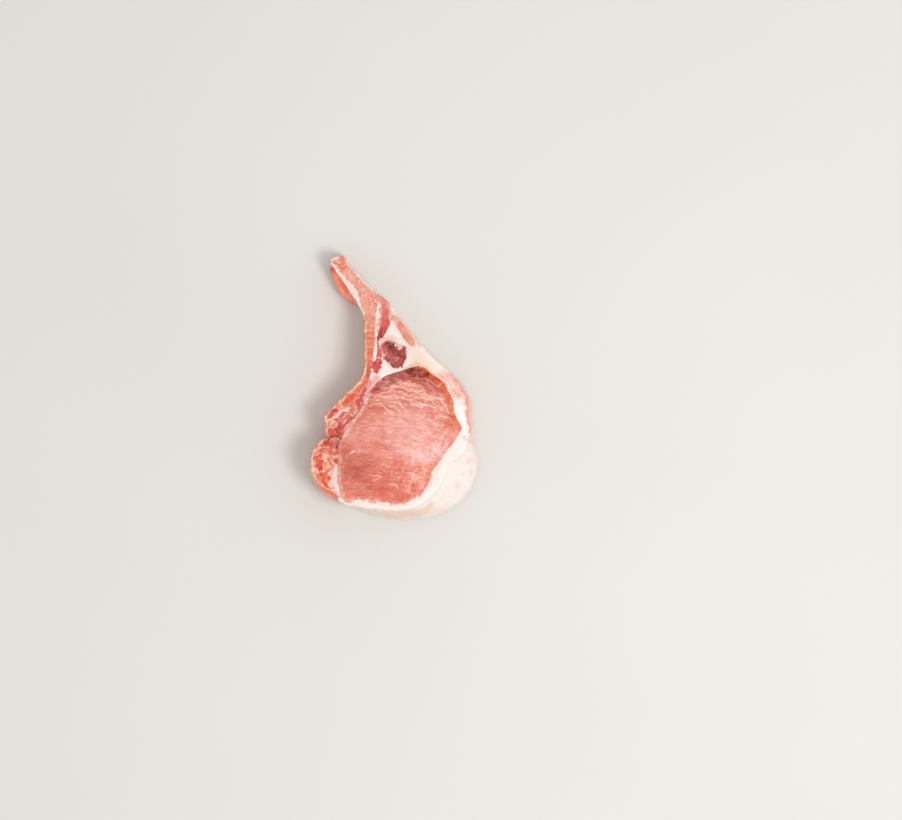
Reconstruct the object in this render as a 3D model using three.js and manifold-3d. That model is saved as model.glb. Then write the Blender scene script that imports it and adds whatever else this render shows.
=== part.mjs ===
// Raw lamb rib chop, lying flat on its lower cut face.
// Millimetres, +Z up, +Y towards the rib tip. The origin is on the resting surface, below the middle of
// the chop's box. Every muscle, the bone and the fat run through the slice from the lower cut to the upper.
import * as THREE from "three";
import { mergeVertices } from "three/addons/utils/BufferGeometryUtils.js";
import Module from "manifold-3d";

const wasm = await Module();
wasm.setup();

// Driving dimensions of the slice.
const THICKNESS = 21; // over the eye of the meat
const TIP_THICKNESS = 12.5; // at the rib tip
const TAPER_FROM_Y = 12; // the slice thins from here
const TAPER_TO_Y = 54; // down to the tip's thickness here
const RIB_MEAT_HEIGHT = 10; // meat left under the bone, along its inner side
const SEAM_GAP = 0.3; // between neighbouring tissues
const FINEST_DETAIL = 0.02; // shorter slivers left by a cut are merged away

// Steps of the faceted surface.
const EDGE_STEP = 1.7; // along an outline
const RELIEF_STEP = 2.6; // across the upper face
const HEADROOM = 6; // how far walls run past the upper face before it trims them
const RELIEF_SPAN = { x: 80, y: 120 }; // the upper face's grid, wider than the chop
const WELD = 1e-4; // vertices closer than this are one

// How the outer side falls from rim to foot: share of the height, share of the slope's reach.
// A reach of 0 is the foot's outline and 1 is the rim's. From the last level the wall runs on up past the rim.
const SIDE_PROFILE = [
  [0, 0.1],
  [0.05, 0.02],
  [0.16, 0],
  [0.36, 0.1],
  [0.58, 0.34],
  [0.78, 0.64],
  [0.94, 0.92],
];

// Eye of the meat, the large oval muscle, clockwise from its dark top.
const EYE_CORE = [2.5, -20];
const EYE_EDGE = [
  [5, 7],
  [10, 8.8],
  [15, 6.8],
  [20.5, 2],
  [24, -5],
  [26.3, -12.5],
  [28, -17.3],
  [25.5, -22],
  [21.5, -28],
  [18, -34],
  [14.5, -40],
  [9, -46],
  [0, -49],
  [-10, -47],
  [-20, -47],
  [-22.5, -41],
  [-22.9, -33],
  [-22.2, -23.5],
  [-18, -15.5],
  [-14.3, -10.5],
  [-9.4, -1.5],
  [-5, 3.4],
];

// Foot of the fat cover, clockwise from the top of the chine: place, then how far the rim lies inside it.
// The last stretch runs under the rib, flap and tail, which cut the fat back to their own edges.
const COVER_FOOT = [
  [-7, 38.8, 0.3],
  [-4.6, 37.3, 0.3],
  [-2.2, 35.5, 0.3],
  [1.5, 30.3, 0.3],
  [7.5, 23, 0.3],
  [15, 14, 0.5],
  [22, 8, 0.7],
  [27.5, 3, 1.6],
  [31.5, -4, 2.3],
  [33, -13, 2.6],
  [33.5, -21, 2.8],
  [34.9, -29, 7.5],
  [34.4, -36, 12.5],
  [31.2, -43.3, 13.5],
  [25, -49.7, 11.5],
  [15, -54, 8],
  [4, -55, 4.8],
  [-7, -53.6, 3.6],
  [-15, -50.6, 1.4],
  [-22, -48, 0.8],
  [-27, -40, 0.3],
  [-26, -28, 0.3],
  [-20, -13, 0.3],
  [-11.5, 4, 0.3],
  [-10.5, 22, 0.3],
  [-9.5, 34, 0.3],
];

// Dark red marrow of the sawn chine bone.
const MARROW_EDGE = [
  [-5, 17.6],
  [-2.3, 19.4],
  [1.5, 18],
  [5.1, 16.3],
  [4.7, 11.5],
  [3.2, 8.5],
  [0, 8.1],
  [-3, 10.8],
  [-4.5, 14.5],
];

// Tail of the chop at the lower left: foot and reach of its rim, clockwise from its notch.
const TAIL_CORE = [-29, -33];
const TAIL_FOOT = [
  [-24.6, -20.4, 0.4],
  [-21.2, -20.6, 0.3],
  [-21.9, -25.5, 0.3],
  [-23.4, -31, 0.3],
  [-25.4, -36, 0.3],
  [-24.6, -42, 0.4],
  [-21.6, -47.6, 1.6],
  [-25, -46.8, 2.8],
  [-29.6, -44.2, 2.6],
  [-33.4, -39.8, 1.8],
  [-35, -33.5, 1.2],
  [-34.6, -27.4, 1],
  [-31.9, -23.1, 1],
  [-28, -21.2, 0.8],
];

// Strips along the rib: place on the centre line, then half the width there.
const RIB_STATIONS = [
  [-24, 53.5, 2.9],
  [-22.5, 51.3, 3.1],
  [-18.5, 46.5, 3.5],
  [-14.3, 41.2, 4.1],
  [-10.9, 36.4, 4.5],
  [-10.2, 32.2, 3.3],
  [-9.95, 28.6, 2.6],
];
const RIB_MEAT_STATIONS = [
  [-25.3, 50.6, 1.9],
  [-22.6, 46.4, 3.1],
  [-19.4, 42, 3.7],
  [-16.4, 38.2, 3.4],
  [-14.2, 35, 1.7],
];
const SEAM_MUSCLE_STATIONS = [
  [-4.2, 34.4, 1],
  [-3.5, 32, 1.55],
  [-3.3, 29, 1.7],
  [-3.7, 26, 1.75],
  [-5.1, 23, 1.5],
  [-5.7, 20, 1.3],
  [-6, 16.5, 1.1],
  [-6.3, 12.5, 1.3],
  [-6.8, 9, 1.3],
  [-7.4, 6, 1.1],
];
const BACK_STRIP_STATIONS = [
  [-0.2, 29.7, 0.6],
  [1.4, 27.1, 1.1],
  [4.1, 23.4, 1.3],
  [6.2, 20.3, 1.3],
  [8.1, 17.7, 0.9],
];
const FLAP_STATIONS = [
  [-9.95, 30, 2.3],
  [-10.15, 26.6, 2.4],
  [-10.5, 19, 2.05],
  [-10.8, 13, 1.65],
  [-10.9, 8.5, 1.7],
  [-11.5, 5, 1.8],
  [-15.1, -2.2, 2.9],
  [-18.8, -8.8, 3.8],
  [-22.7, -14, 6.1],
  [-24.9, -18.8, 3.9],
];
const RIB_REACH = 0.6; // how far a strip's rim lies inside its foot
const RIB_MEAT_REACH = 1.2;
const FLAP_REACH = 0.8; // on its outer side
const END_BULGE = 0.5; // how far a strip's end bulges, as a share of its half width

// Swells and dips of the upper face: place, radius, height.
const SWELLS = {
  eyeCrown: [3, -18, 26, 1.6],
  eyeShoulder: [-8, -36, 16, 0.6],
  chineFat: [12, 12, 8, 0.8],
  marrowDip: [0.5, 13.5, 6, -0.9],
  ribBack: [-13, 40, 8, 0.8],
  flapDip: [-20, -8, 9, -2.2],
  notchDip: [-27.5, -20.2, 4.5, -4.5],
  tailLump: [-30, -31, 7, 0.8],
  tailFoot: [-29, -42, 8, -1.6],
  coverFall: [24, -40, 12, -1],
};

// Thickness of the slice over a place on the resting surface.
function sliceHeight(x, y) {
  const taper = THREE.MathUtils.smoothstep(y, TAPER_FROM_Y, TAPER_TO_Y);
  const swell = Object.values(SWELLS).reduce(
    (sum, [cx, cy, radius, height]) =>
      sum + height * Math.exp(-((x - cx) ** 2 + (y - cy) ** 2) / radius ** 2),
    0,
  );
  return THREE.MathUtils.lerp(THICKNESS, TIP_THICKNESS, taper) + swell;
}

// Smooth closed outline through landmarks, evenly stepped. Each point's z carries the reach of its rim.
function closedOutline(landmarks) {
  const curve = new THREE.CatmullRomCurve3(
    landmarks.map(([x, y, reach = 0]) => new THREE.Vector3(x, y, reach)),
    true,
    "centripetal",
  );
  const count = Math.round(curve.getLength() / EDGE_STEP);
  const points = curve.getSpacedPoints(count).slice(0, count);
  return isClockwise(points) ? points.reverse() : points;
}

function isClockwise(points) {
  return THREE.ShapeUtils.isClockWise(points.map((p) => new THREE.Vector2(p.x, p.y)));
}

// Outline of a strip of varying width, with bulging ends. Left and right are seen along its line.
function stripOutline(stations, leftReach = 0, rightReach = leftReach) {
  const line = new THREE.CatmullRomCurve3(
    stations.map(([x, y, half]) => new THREE.Vector3(x, y, half)),
    false,
    "centripetal",
  );
  const count = Math.round(line.getLength() / EDGE_STEP);
  const left = [];
  const right = [];
  for (let i = 0; i <= count; i++) {
    const p = line.getPointAt(i / count);
    const along = line.getTangentAt(i / count).setZ(0).normalize();
    left.push([p.x - along.y * p.z, p.y + along.x * p.z, leftReach]);
    right.push([p.x + along.y * p.z, p.y - along.x * p.z, rightReach]);
  }
  const endCap = (index, sign) => {
    const p = line.getPointAt(index / count);
    const along = line.getTangentAt(index / count).setZ(0).normalize();
    const bulge = sign * p.z * END_BULGE;
    return [p.x + along.x * bulge, p.y + along.y * bulge, Math.min(leftReach, rightReach)];
  };
  return closedOutline([...left, endCap(count, 1), ...right.reverse(), endCap(0, -1)]);
}

// Outward direction of an anticlockwise outline at each of its points.
function outwardNormals(outline) {
  return outline.map((_, i) => {
    const before = outline.at(i - 1);
    const after = outline[(i + 1) % outline.length];
    return new THREE.Vector2(after.y - before.y, before.x - after.x).normalize();
  });
}

// The outline moved outwards by a distance.
function grown(outline, distance) {
  const normals = outwardNormals(outline);
  return outline.map(
    (p, i) => new THREE.Vector3(p.x + normals[i].x * distance, p.y + normals[i].y * distance, p.z),
  );
}

// Closed surface through rings of equally many points, capped at both ends.
function ringsToGeometry(rings) {
  const count = rings[0].length;
  const position = rings.flat().flatMap((p) => [p.x, p.y, p.z]);
  const index = [];
  for (let level = 0; level + 1 < rings.length; level++) {
    for (let i = 0; i < count; i++) {
      const a = level * count + i;
      const b = level * count + ((i + 1) % count);
      index.push(a, b, b + count, a, b + count, a + count);
    }
  }
  const cap = (ring) =>
    THREE.ShapeUtils.triangulateShape(ring.map((p) => new THREE.Vector2(p.x, p.y)), []);
  const last = (rings.length - 1) * count;
  for (const [a, b, c] of cap(rings[0])) index.push(a, c, b);
  for (const [a, b, c] of cap(rings.at(-1))) index.push(last + a, last + b, last + c);
  return new THREE.BufferGeometry()
    .setAttribute("position", new THREE.Float32BufferAttribute(position, 3))
    .setIndex(index);
}

// Direction in which a wall leans at each point of its outline: towards a core, or square to the outline.
function inwardLean(outline, core) {
  if (!core) return outwardNormals(outline).map((n) => n.negate());
  return outline.map((p) => new THREE.Vector2(core[0] - p.x, core[1] - p.y).normalize());
}

// Rings of an outer wall, from the foot up the side profile to the rim.
function sideRings(outline, heightAt, core) {
  const lean = inwardLean(outline, core);
  const ring = (share, reach) =>
    outline.map((p, i) => {
      const x = p.x + lean[i].x * p.z * reach;
      const y = p.y + lean[i].y * p.z * reach;
      return new THREE.Vector3(x, y, heightAt(x, y) * share);
    });
  return SIDE_PROFILE.map(([share, reach]) => ring(share, reach));
}

// Outer wall that runs on past the upper face, which trims it at the rim.
function outerWall(outline, core) {
  const rings = sideRings(outline, sliceHeight, core);
  const lean = inwardLean(outline, core);
  const above = outline.map(
    (p, i) =>
      new THREE.Vector3(p.x + lean[i].x * p.z, p.y + lean[i].y * p.z, THICKNESS + HEADROOM),
  );
  return ringsToGeometry([...rings, above]);
}

// Upright wall between two levels.
function uprightWall(outline, bottom, top) {
  const flat = (z) => outline.map((p) => new THREE.Vector3(p.x, p.y, z));
  return ringsToGeometry([flat(bottom), flat(top)]);
}

// Block under the upper cut face, with its swells and dips.
function reliefBlock() {
  const grid = new THREE.PlaneGeometry(
    RELIEF_SPAN.x,
    RELIEF_SPAN.y,
    Math.round(RELIEF_SPAN.x / RELIEF_STEP),
    Math.round(RELIEF_SPAN.y / RELIEF_STEP),
  );
  const top = grid.attributes.position;
  const columns = grid.parameters.widthSegments + 1;
  const rows = grid.parameters.heightSegments + 1;
  const points = [];
  for (let i = 0; i < top.count; i++) {
    points.push(top.getX(i), top.getY(i), sliceHeight(top.getX(i), top.getY(i)));
  }
  const border = [];
  for (let c = 0; c < columns - 1; c++) border.push(c);
  for (let r = 0; r < rows - 1; r++) border.push(r * columns + columns - 1);
  for (let c = columns - 1; c > 0; c--) border.push((rows - 1) * columns + c);
  for (let r = rows - 1; r > 0; r--) border.push(r * columns);
  const floorZ = -HEADROOM;
  for (const b of border) points.push(points[3 * b], points[3 * b + 1], floorZ);
  points.push(0, 0, floorZ);
  const centre = top.count + border.length;
  const index = [...grid.index.array];
  border.forEach((b, i) => {
    const n = (i + 1) % border.length;
    const [low, lowNext] = [top.count + i, top.count + n];
    index.push(b, border[n], lowNext, b, lowNext, low, low, lowNext, centre);
  });
  return new THREE.BufferGeometry()
    .setAttribute("position", new THREE.Float32BufferAttribute(points, 3))
    .setIndex(index);
}

// Closed geometry to a solid that can be cut, and back.
function toSolid(geometry) {
  const merged = mergeVertices(geometry, WELD);
  const solid = new wasm.Manifold(
    new wasm.Mesh({
      numProp: 3,
      vertProperties: new Float32Array(merged.attributes.position.array),
      triVerts: new Uint32Array(merged.index.array),
    }),
  );
  if (solid.volume() > 0) return solid;
  const turned = merged.index.array.slice();
  for (let i = 0; i < turned.length; i += 3) {
    [turned[i + 1], turned[i + 2]] = [turned[i + 2], turned[i + 1]];
  }
  return new wasm.Manifold(
    new wasm.Mesh({
      numProp: 3,
      vertProperties: new Float32Array(merged.attributes.position.array),
      triVerts: new Uint32Array(turned),
    }),
  );
}

function toGeometry(solid) {
  const mesh = solid.getMesh();
  return new THREE.BufferGeometry()
    .setAttribute("position", new THREE.Float32BufferAttribute(mesh.vertProperties, 3))
    .setIndex([...mesh.triVerts]);
}

// The largest body of a cut solid, without loose scraps.
function mainBody(solid) {
  return solid.decompose().reduce((best, body) => (body.volume() > best.volume() ? body : best));
}

const upperFace = toSolid(reliefBlock());

// The slightly larger cutter that keeps a tissue's neighbours off it.
function cutterAround(outline, top = THICKNESS + HEADROOM) {
  return toSolid(uprightWall(grown(outline, SEAM_GAP), -HEADROOM, top));
}

// Tissue that lies inside the slice and shows on its cut faces alone.
function insideTissue(outline) {
  const solid = toSolid(uprightWall(outline, 0, THICKNESS + HEADROOM));
  return { solid, cutter: cutterAround(outline) };
}

// Tissue that also forms the chop's outer side. Its cutter leans with its wall, so neighbours follow that.
function outerTissue(outline, core) {
  const cutter = toSolid(outerWall(grown(outline, SEAM_GAP), core));
  return { solid: toSolid(outerWall(outline, core)), cutter };
}

// Meat under the bone: a low strip that the bone sits on.
function ribMeatTissue(outline) {
  const rings = sideRings(outline, () => RIB_MEAT_HEIGHT);
  const solid = toSolid(ringsToGeometry(rings));
  return { solid, cutter: cutterAround(outline, RIB_MEAT_HEIGHT + SEAM_GAP) };
}

// Tissues in the order in which they keep their full outline: a later one is cut back by all before it.
const TISSUES = [
  ["chine_marrow", insideTissue(closedOutline(MARROW_EDGE)), 0x9a4340, 0.5],
  ["seam_muscle", insideTissue(stripOutline(SEAM_MUSCLE_STATIONS)), 0xc4545a, 0.5],
  ["eye_muscle", insideTissue(closedOutline(EYE_EDGE)), 0xe58f80, 0.45],
  ["rib_meat", ribMeatTissue(stripOutline(RIB_MEAT_STATIONS, RIB_MEAT_REACH)), 0xe07a5c, 0.5],
  ["rib_bone", outerTissue(stripOutline(RIB_STATIONS, RIB_REACH)), 0xf0b3a0, 0.6],
  ["flap_muscle", outerTissue(stripOutline(FLAP_STATIONS, 0, FLAP_REACH)), 0xe27a66, 0.5],
  ["tail_muscle", outerTissue(closedOutline(TAIL_FOOT), TAIL_CORE), 0xe0735c, 0.5],
  ["back_strip", insideTissue(stripOutline(BACK_STRIP_STATIONS)), 0xeb9d85, 0.5],
  ["fat_cover", outerTissue(closedOutline(COVER_FOOT), EYE_CORE), 0xfaeae2, 0.5],
];

const chop = new THREE.Group();
const cutters = [];
for (const [name, tissue, color, roughness] of TISSUES) {
  const cut = cutters.reduce((solid, cutter) => solid.subtract(cutter), tissue.solid);
  const body = mainBody(cut.intersect(upperFace));
  const geometry = toGeometry(body.simplify(FINEST_DETAIL));
  const mesh = new THREE.Mesh(
    geometry,
    new THREE.MeshStandardMaterial({ color, roughness, metalness: 0 }),
  );
  mesh.name = name;
  chop.add(mesh);
  cutters.push(tissue.cutter);
}

// The middle of the chop's box comes over the origin.
const middle = new THREE.Box3().setFromObject(chop).getCenter(new THREE.Vector3());
chop.position.set(-middle.x, -middle.y, 0);

export default chop;
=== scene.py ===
# %% [markdown]
# # A raw lamb chop
# A rib chop is one slice through many tissues: an eye of lean, a white fat cover, bone, and strips of
# darker meat, all cut by the same two strokes of a saw. The frame's solids hold those tissues at their
# real size. This lesson makes a finer skin for each, gives it a small relief, and colours it with nodes.
# The frame is loaded first, because every later place is measured from it.

# %% Load the frame
import math

import bpy
import numpy as np
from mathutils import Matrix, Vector, noise
from mathutils.bvhtree import BVHTree


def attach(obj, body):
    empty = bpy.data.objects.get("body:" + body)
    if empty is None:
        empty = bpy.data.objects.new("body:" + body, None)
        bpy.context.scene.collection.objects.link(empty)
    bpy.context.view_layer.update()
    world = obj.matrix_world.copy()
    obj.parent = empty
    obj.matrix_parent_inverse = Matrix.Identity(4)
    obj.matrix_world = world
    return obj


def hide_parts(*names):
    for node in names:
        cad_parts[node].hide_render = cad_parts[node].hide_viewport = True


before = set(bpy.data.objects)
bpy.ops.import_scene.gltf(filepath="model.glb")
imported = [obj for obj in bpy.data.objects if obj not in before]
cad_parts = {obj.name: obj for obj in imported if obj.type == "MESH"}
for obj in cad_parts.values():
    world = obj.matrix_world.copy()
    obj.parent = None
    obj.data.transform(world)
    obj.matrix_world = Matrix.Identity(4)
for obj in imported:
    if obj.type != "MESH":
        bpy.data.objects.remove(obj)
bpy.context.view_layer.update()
MM = 0.001
print("tissues:", ", ".join(sorted(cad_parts)))

# %% [markdown]
# ## The camera
# The chop was seen from straight above. A long lens from high up keeps the outer walls from leaning into
# view. The lens follows from the picture's width in real millimetres, so the chop lands where the picture
# has it.

# %% Camera
PICTURE_WIDTH_PX = 902
MM_PER_PX = 110 / 264
PICTURE_MIDDLE_MM = (23.9, -9.3)
CAMERA_HEIGHT_MM = 1500
CUT_FACE_MM = 21

camera_data = bpy.data.cameras.new("overhead_camera")
camera_distance = CAMERA_HEIGHT_MM - CUT_FACE_MM
camera_data.lens = camera_data.sensor_width * camera_distance / (PICTURE_WIDTH_PX * MM_PER_PX)
camera = bpy.data.objects.new("overhead_camera", camera_data)
camera.location = Vector((*PICTURE_MIDDLE_MM, CAMERA_HEIGHT_MM)) * MM
scene = bpy.context.scene
scene.collection.objects.link(camera)
scene.camera = camera
print("lens, mm:", round(camera_data.lens, 1))

# %% [markdown]
# ## Light and floor
# Raw meat looks fresh in bright, soft light: a large lamp from the lower right, and an even white room
# that fills the shadows. The colours below are given as they should look on the cut face. LIGHT_LEVEL is
# how bright a white cut face comes out. pigment() takes the white sheen of the wet face off a seen colour
# and divides the rest by that level. The Standard view keeps those colours.

# %% Light, floor and pigments
ROOM_LIGHT = 0.82
LAMP_WATTS = 4.5
LAMP_PLACE_MM = (420, -200, 900)
LAMP_WIDTH_MM = 320
LIGHT_LEVEL = 1.17
SHEEN_LEVEL = 0.03
FLOOR_WIDTH_MM = 4000


def pigment(red, green, blue):
    """The paint, in linear light, that shows as this screen colour (0 to 255) on the cut face."""
    shares = np.array((red, green, blue)) / 255
    linear = np.where(shares <= 0.04045, shares / 12.92, ((shares + 0.055) / 1.055) ** 2.4)
    return np.clip((linear - SHEEN_LEVEL) / LIGHT_LEVEL, 0.004, 0.97)


def paint(red, green, blue):
    """The same paint with its opacity, as a colour socket takes it."""
    return (*pigment(red, green, blue), 1.0)


scene.view_settings.view_transform = "Standard"
room = bpy.data.worlds.new("soft_white_room")
room.use_nodes = True
room.node_tree.nodes["Background"].inputs["Strength"].default_value = ROOM_LIGHT
room.node_tree.nodes["Background"].inputs["Color"].default_value = (1, 1, 1, 1)
scene.world = room

lamp_data = bpy.data.lights.new("soft_lamp", "AREA")
lamp_data.size = LAMP_WIDTH_MM * MM
lamp_data.energy = LAMP_WATTS
lamp = bpy.data.objects.new("soft_lamp", lamp_data)
lamp.location = Vector(LAMP_PLACE_MM) * MM
lamp.rotation_euler = lamp.location.to_track_quat("Z", "Y").to_euler()
scene.collection.objects.link(lamp)

half = FLOOR_WIDTH_MM / 2 * MM
floor_corners = [(-half, -half, 0), (half, -half, 0), (half, half, 0), (-half, half, 0)]
floor_mesh = bpy.data.meshes.new("floor")
floor_mesh.from_pydata(floor_corners, [], [(0, 1, 2, 3)])
floor = bpy.data.objects.new("floor", floor_mesh)
scene.collection.objects.link(floor)
print("lamp, W:", LAMP_WATTS, "room:", ROOM_LIGHT)

# %% [markdown]
# ## Noise
# Meat has no straight edge anywhere. ripple() is smooth seeded noise, read at points in millimetres, and
# relief() adds several waves of it. drift() makes a sideways shift of such waves, and what is drawn at
# strayed() points wavers like tissue does. The noise is read slowly in depth, so a pattern on the cut
# face runs on down the outer walls.

# %% Noise
SEED_STEP = np.array((17.31, 5.17, 9.73))
DEPTH_SHARE = 0.3
STRAYS = [(1.0, 3.0, 71), (0.4, 1.1, 75)]


def eased(low, high, values):
    """0 below low, 1 above high, with a smooth step between."""
    share = np.clip((values - low) / (high - low), 0, 1)
    return share * share * (3 - 2 * share)


def ripple(spots, size_mm, seed):
    """Smooth noise from about -1 to 1 whose swells are size_mm across."""
    places = np.asarray(spots) / size_mm + seed * SEED_STEP
    return np.array([noise.noise(place) for place in places.tolist()])


def relief(spots, waves):
    """The sum of several waves of noise, each with its height, size and seed."""
    return sum(height * ripple(spots, size, seed) for height, size, seed in waves)


def drift(spots, waves, depth_share):
    """A sideways shift at each spot, by waves that change slowly in depth."""
    slow = spots * (1, 1, depth_share)
    other_waves = [(height, size, seed + 1) for height, size, seed in waves]
    return np.column_stack((relief(slow, waves), relief(slow, other_waves)))


def strayed(spots, reach_mm):
    """The spots, moved sideways by noise of two sizes."""
    moved = spots.copy()
    moved[:, :2] += reach_mm * drift(spots, STRAYS, DEPTH_SHARE)
    return moved


print("noise at the origin:", round(float(ripple([(0, 0, 0)], 1.0, 1)[0]), 3))

# %% [markdown]
# ## Lines, patches and lobes
# Three kinds of mark make up a cut face. A line is a thread of fat: line_gap() tells how far each point
# is from it. Keeping that distance, not a painted colour, lets the material draw an edge finer than the
# mesh. A patch is a soft oval of another tone, and a band is the same along a line. Lobes are bundles of
# meat that press against each other like soap bubbles: a point belongs to the oval that is nearest in its
# own measure, and the distance to the next oval shows where the fat between bundles runs.

# %% Lines
FAR_MM = 4.0
LINE_STEPS = 4
LINE_TIP = 0.4


def drawn_line(points):
    """A smooth line through given points, as a finer run of points."""
    points = np.array(points, float)
    ends = np.vstack((2 * points[0] - points[1], points, 2 * points[-1] - points[-2]))
    run = []
    for before, start, end, after in zip(ends, ends[1:], ends[2:], ends[3:]):
        for t in np.arange(LINE_STEPS) / LINE_STEPS:
            bend = 2 * before - 5 * start + 4 * end - after
            twist = 3 * start - before - 3 * end + after
            run.append(start + 0.5 * t * ((end - before) + t * (bend + t * twist)))
    return np.array([*run, points[-1]])


def line_gap(spots, width, points):
    """How far each spot is outside a line of that width on the cut face. The line thins towards both
    ends, unless several widths are given along it."""
    run = drawn_line(points)
    share = np.linspace(0, 1, len(run))
    if np.ndim(width):
        halves = 0.5 * np.interp(share, np.linspace(0, 1, len(width)), width)
    else:
        halves = 0.5 * width * (LINE_TIP + (1 - LINE_TIP) * np.sin(math.pi * share))
    gap = np.full(len(spots), np.inf)
    for start, end, half_start, half_end in zip(run, run[1:], halves, halves[1:]):
        reach = end - start
        from_start = spots[:, :2] - start
        along = np.clip(from_start @ reach / (reach @ reach), 0, 1)
        off = np.linalg.norm(from_start - along[:, None] * reach, axis=1)
        gap = np.minimum(gap, off - half_start - along * (half_end - half_start))
    return gap


def lines_gap(spots, lines):
    """The gap to the nearest of several (width, points) lines."""
    return np.min([line_gap(spots, width, points) for width, points in lines], axis=0)


print("a line of 3 points becomes", len(drawn_line([(0, 0), (1, 1), (2, 0)])), "points")

# %% Patches and lobes
LOBE_SHARPNESS = 7.0
FRAY = [(0.7, 1.1, 81)]


def turned(x, y, degrees):
    """Places measured along and across a line at this angle."""
    angle = math.radians(degrees)
    return x * math.cos(angle) + y * math.sin(angle), y * math.cos(angle) - x * math.sin(angle)


def oval_ring(spots, middle, reaches, turn):
    """How many times its own reach each spot is away from the middle of a turned oval."""
    along, across = turned(*(spots[:, :2] - middle).T, turn)
    return np.hypot(along / reaches[0], across / reaches[1])


def inside(spots, middle, reaches, turn, edge=3):
    """1 in the middle of an oval and 0 well outside. A higher edge makes the change more sudden."""
    return np.exp(-oval_ring(spots, middle, reaches, turn) ** edge)


def toned(colours, share, colour):
    """Mixes one colour into the colours of all spots, by a share at each spot."""
    colours += np.clip(share, 0, 1)[:, None] * (pigment(*colour) - colours)


def banded(colours, spots, bands):
    """Mixes soft, frayed bands into the colours. Each has its width or widths, its soft edge, its
    colour, its strength and its points."""
    fray = relief(spots, FRAY) if bands else 0
    for width, soft_mm, colour, strength, points in bands:
        toned(colours, strength * (1 - eased(0, soft_mm, line_gap(spots, width, points) + fray)), colour)


def tinted(spots, ground, patches, bands=()):
    """A broad colour for each spot: the ground, then soft patches, then bands. A patch has its middle,
    its reaches, its turn in degrees, its colour and its strength."""
    colours = np.tile(pigment(*ground), (len(spots), 1))
    for middle, reaches, turn, colour, strength in patches:
        toned(colours, strength * inside(spots, middle, reaches, turn), colour)
    banded(colours, spots, bands)
    return colours


def lobed(spots, lobes):
    """The colour of the lobe that holds each spot, and the spot's distance to the next lobe, in mm.
    A lobe has its middle, its reaches, its turn and its colour."""
    rings = np.array([oval_ring(spots, *lobe[:3]) for lobe in lobes])
    weights = np.exp(-LOBE_SHARPNESS * (rings - rings.min(axis=0)))
    weights /= weights.sum(axis=0)
    colours = weights.T @ np.array([pigment(*lobe[3]) for lobe in lobes])
    order = np.argsort(rings, axis=0)[:2]
    near, far = np.take_along_axis(rings, order, axis=0)
    sizes = np.sqrt([lobe[1][0] * lobe[1][1] for lobe in lobes])[order]
    return colours, (far - near) / (1 / sizes[0] + 1 / sizes[1])


print("two lobes 2 mm apart, 0.5 mm beside the first:",
      lobed(np.array([(0.5, 0, 0)]), [((0, 0), (1, 1), 0, (9, 9, 9)), ((2, 0), (1, 1), 0, (9, 9, 9))])[1])

# %% [markdown]
# ## A fine skin for each tissue
# The frame's solids have flat facets, which is right for a solid and wrong for wet flesh. Sculpting or
# subdividing would work too, but subdivision keeps the long thin facets. A voxel remesh gives even small
# quads, and some smoothing takes the facets away. The copy then knows at each point which way it faces,
# how far the next tissue is, and how far the open side is. Marks that ran straight down the open walls
# would look ruled, so they lean with depth, by leaned(), and end at a ragged height, by deep_wall().

# %% Fine skins
WALL_TILT, TOP_TILT = 0.6, (0.3, 0.8)
TOUCHING_MM = 0.6
LEAN = [(0.3, 13.0, 91)]
WALL_RAG = [(3.5, 4.5, 95)]
MARKED_MM, PLAIN_MM = 16.5, 10.5


def solid_in_mm(node):
    """The corners of a frame solid in mm, its faces, and each face's normal."""
    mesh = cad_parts[node].data
    corners = [Vector(corner.co) / MM for corner in mesh.vertices]
    faces = [list(face.vertices) for face in mesh.polygons]
    return corners, faces, [face.normal.copy() for face in mesh.polygons]


def tree_of(parts):
    """One search tree over several (corners, faces) parts."""
    corners, faces = [], []
    for part_corners, part_faces in parts:
        faces += [[index + len(corners) for index in face] for face in part_faces]
        corners += part_corners
    return BVHTree.FromPolygons(corners, faces)


def gaps_to(tree, spots):
    """The distance from each spot to the nearest face of a tree, up to FAR_MM."""
    found = (tree.find_nearest(spot, FAR_MM)[3] for spot in spots.tolist())
    return np.array([FAR_MM if gap is None else gap for gap in found])


def fine_skin(node, name, voxel_mm, smooth_rounds):
    """A smooth, finely divided copy of a frame solid, as a new object."""
    skin = bpy.data.objects.new(name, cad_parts[node].data.copy())
    scene.collection.objects.link(skin)
    even = skin.modifiers.new("even_quads", "REMESH")
    even.mode = "VOXEL"
    even.voxel_size = voxel_mm * MM
    soft = skin.modifiers.new("no_facets", "SMOOTH")
    soft.iterations = smooth_rounds
    made = bpy.data.meshes.new_from_object(skin.evaluated_get(bpy.context.evaluated_depsgraph_get()))
    skin.modifiers.clear()
    skin.data = made
    made.name = name
    made.materials.clear()
    made.shade_smooth()
    return skin


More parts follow.
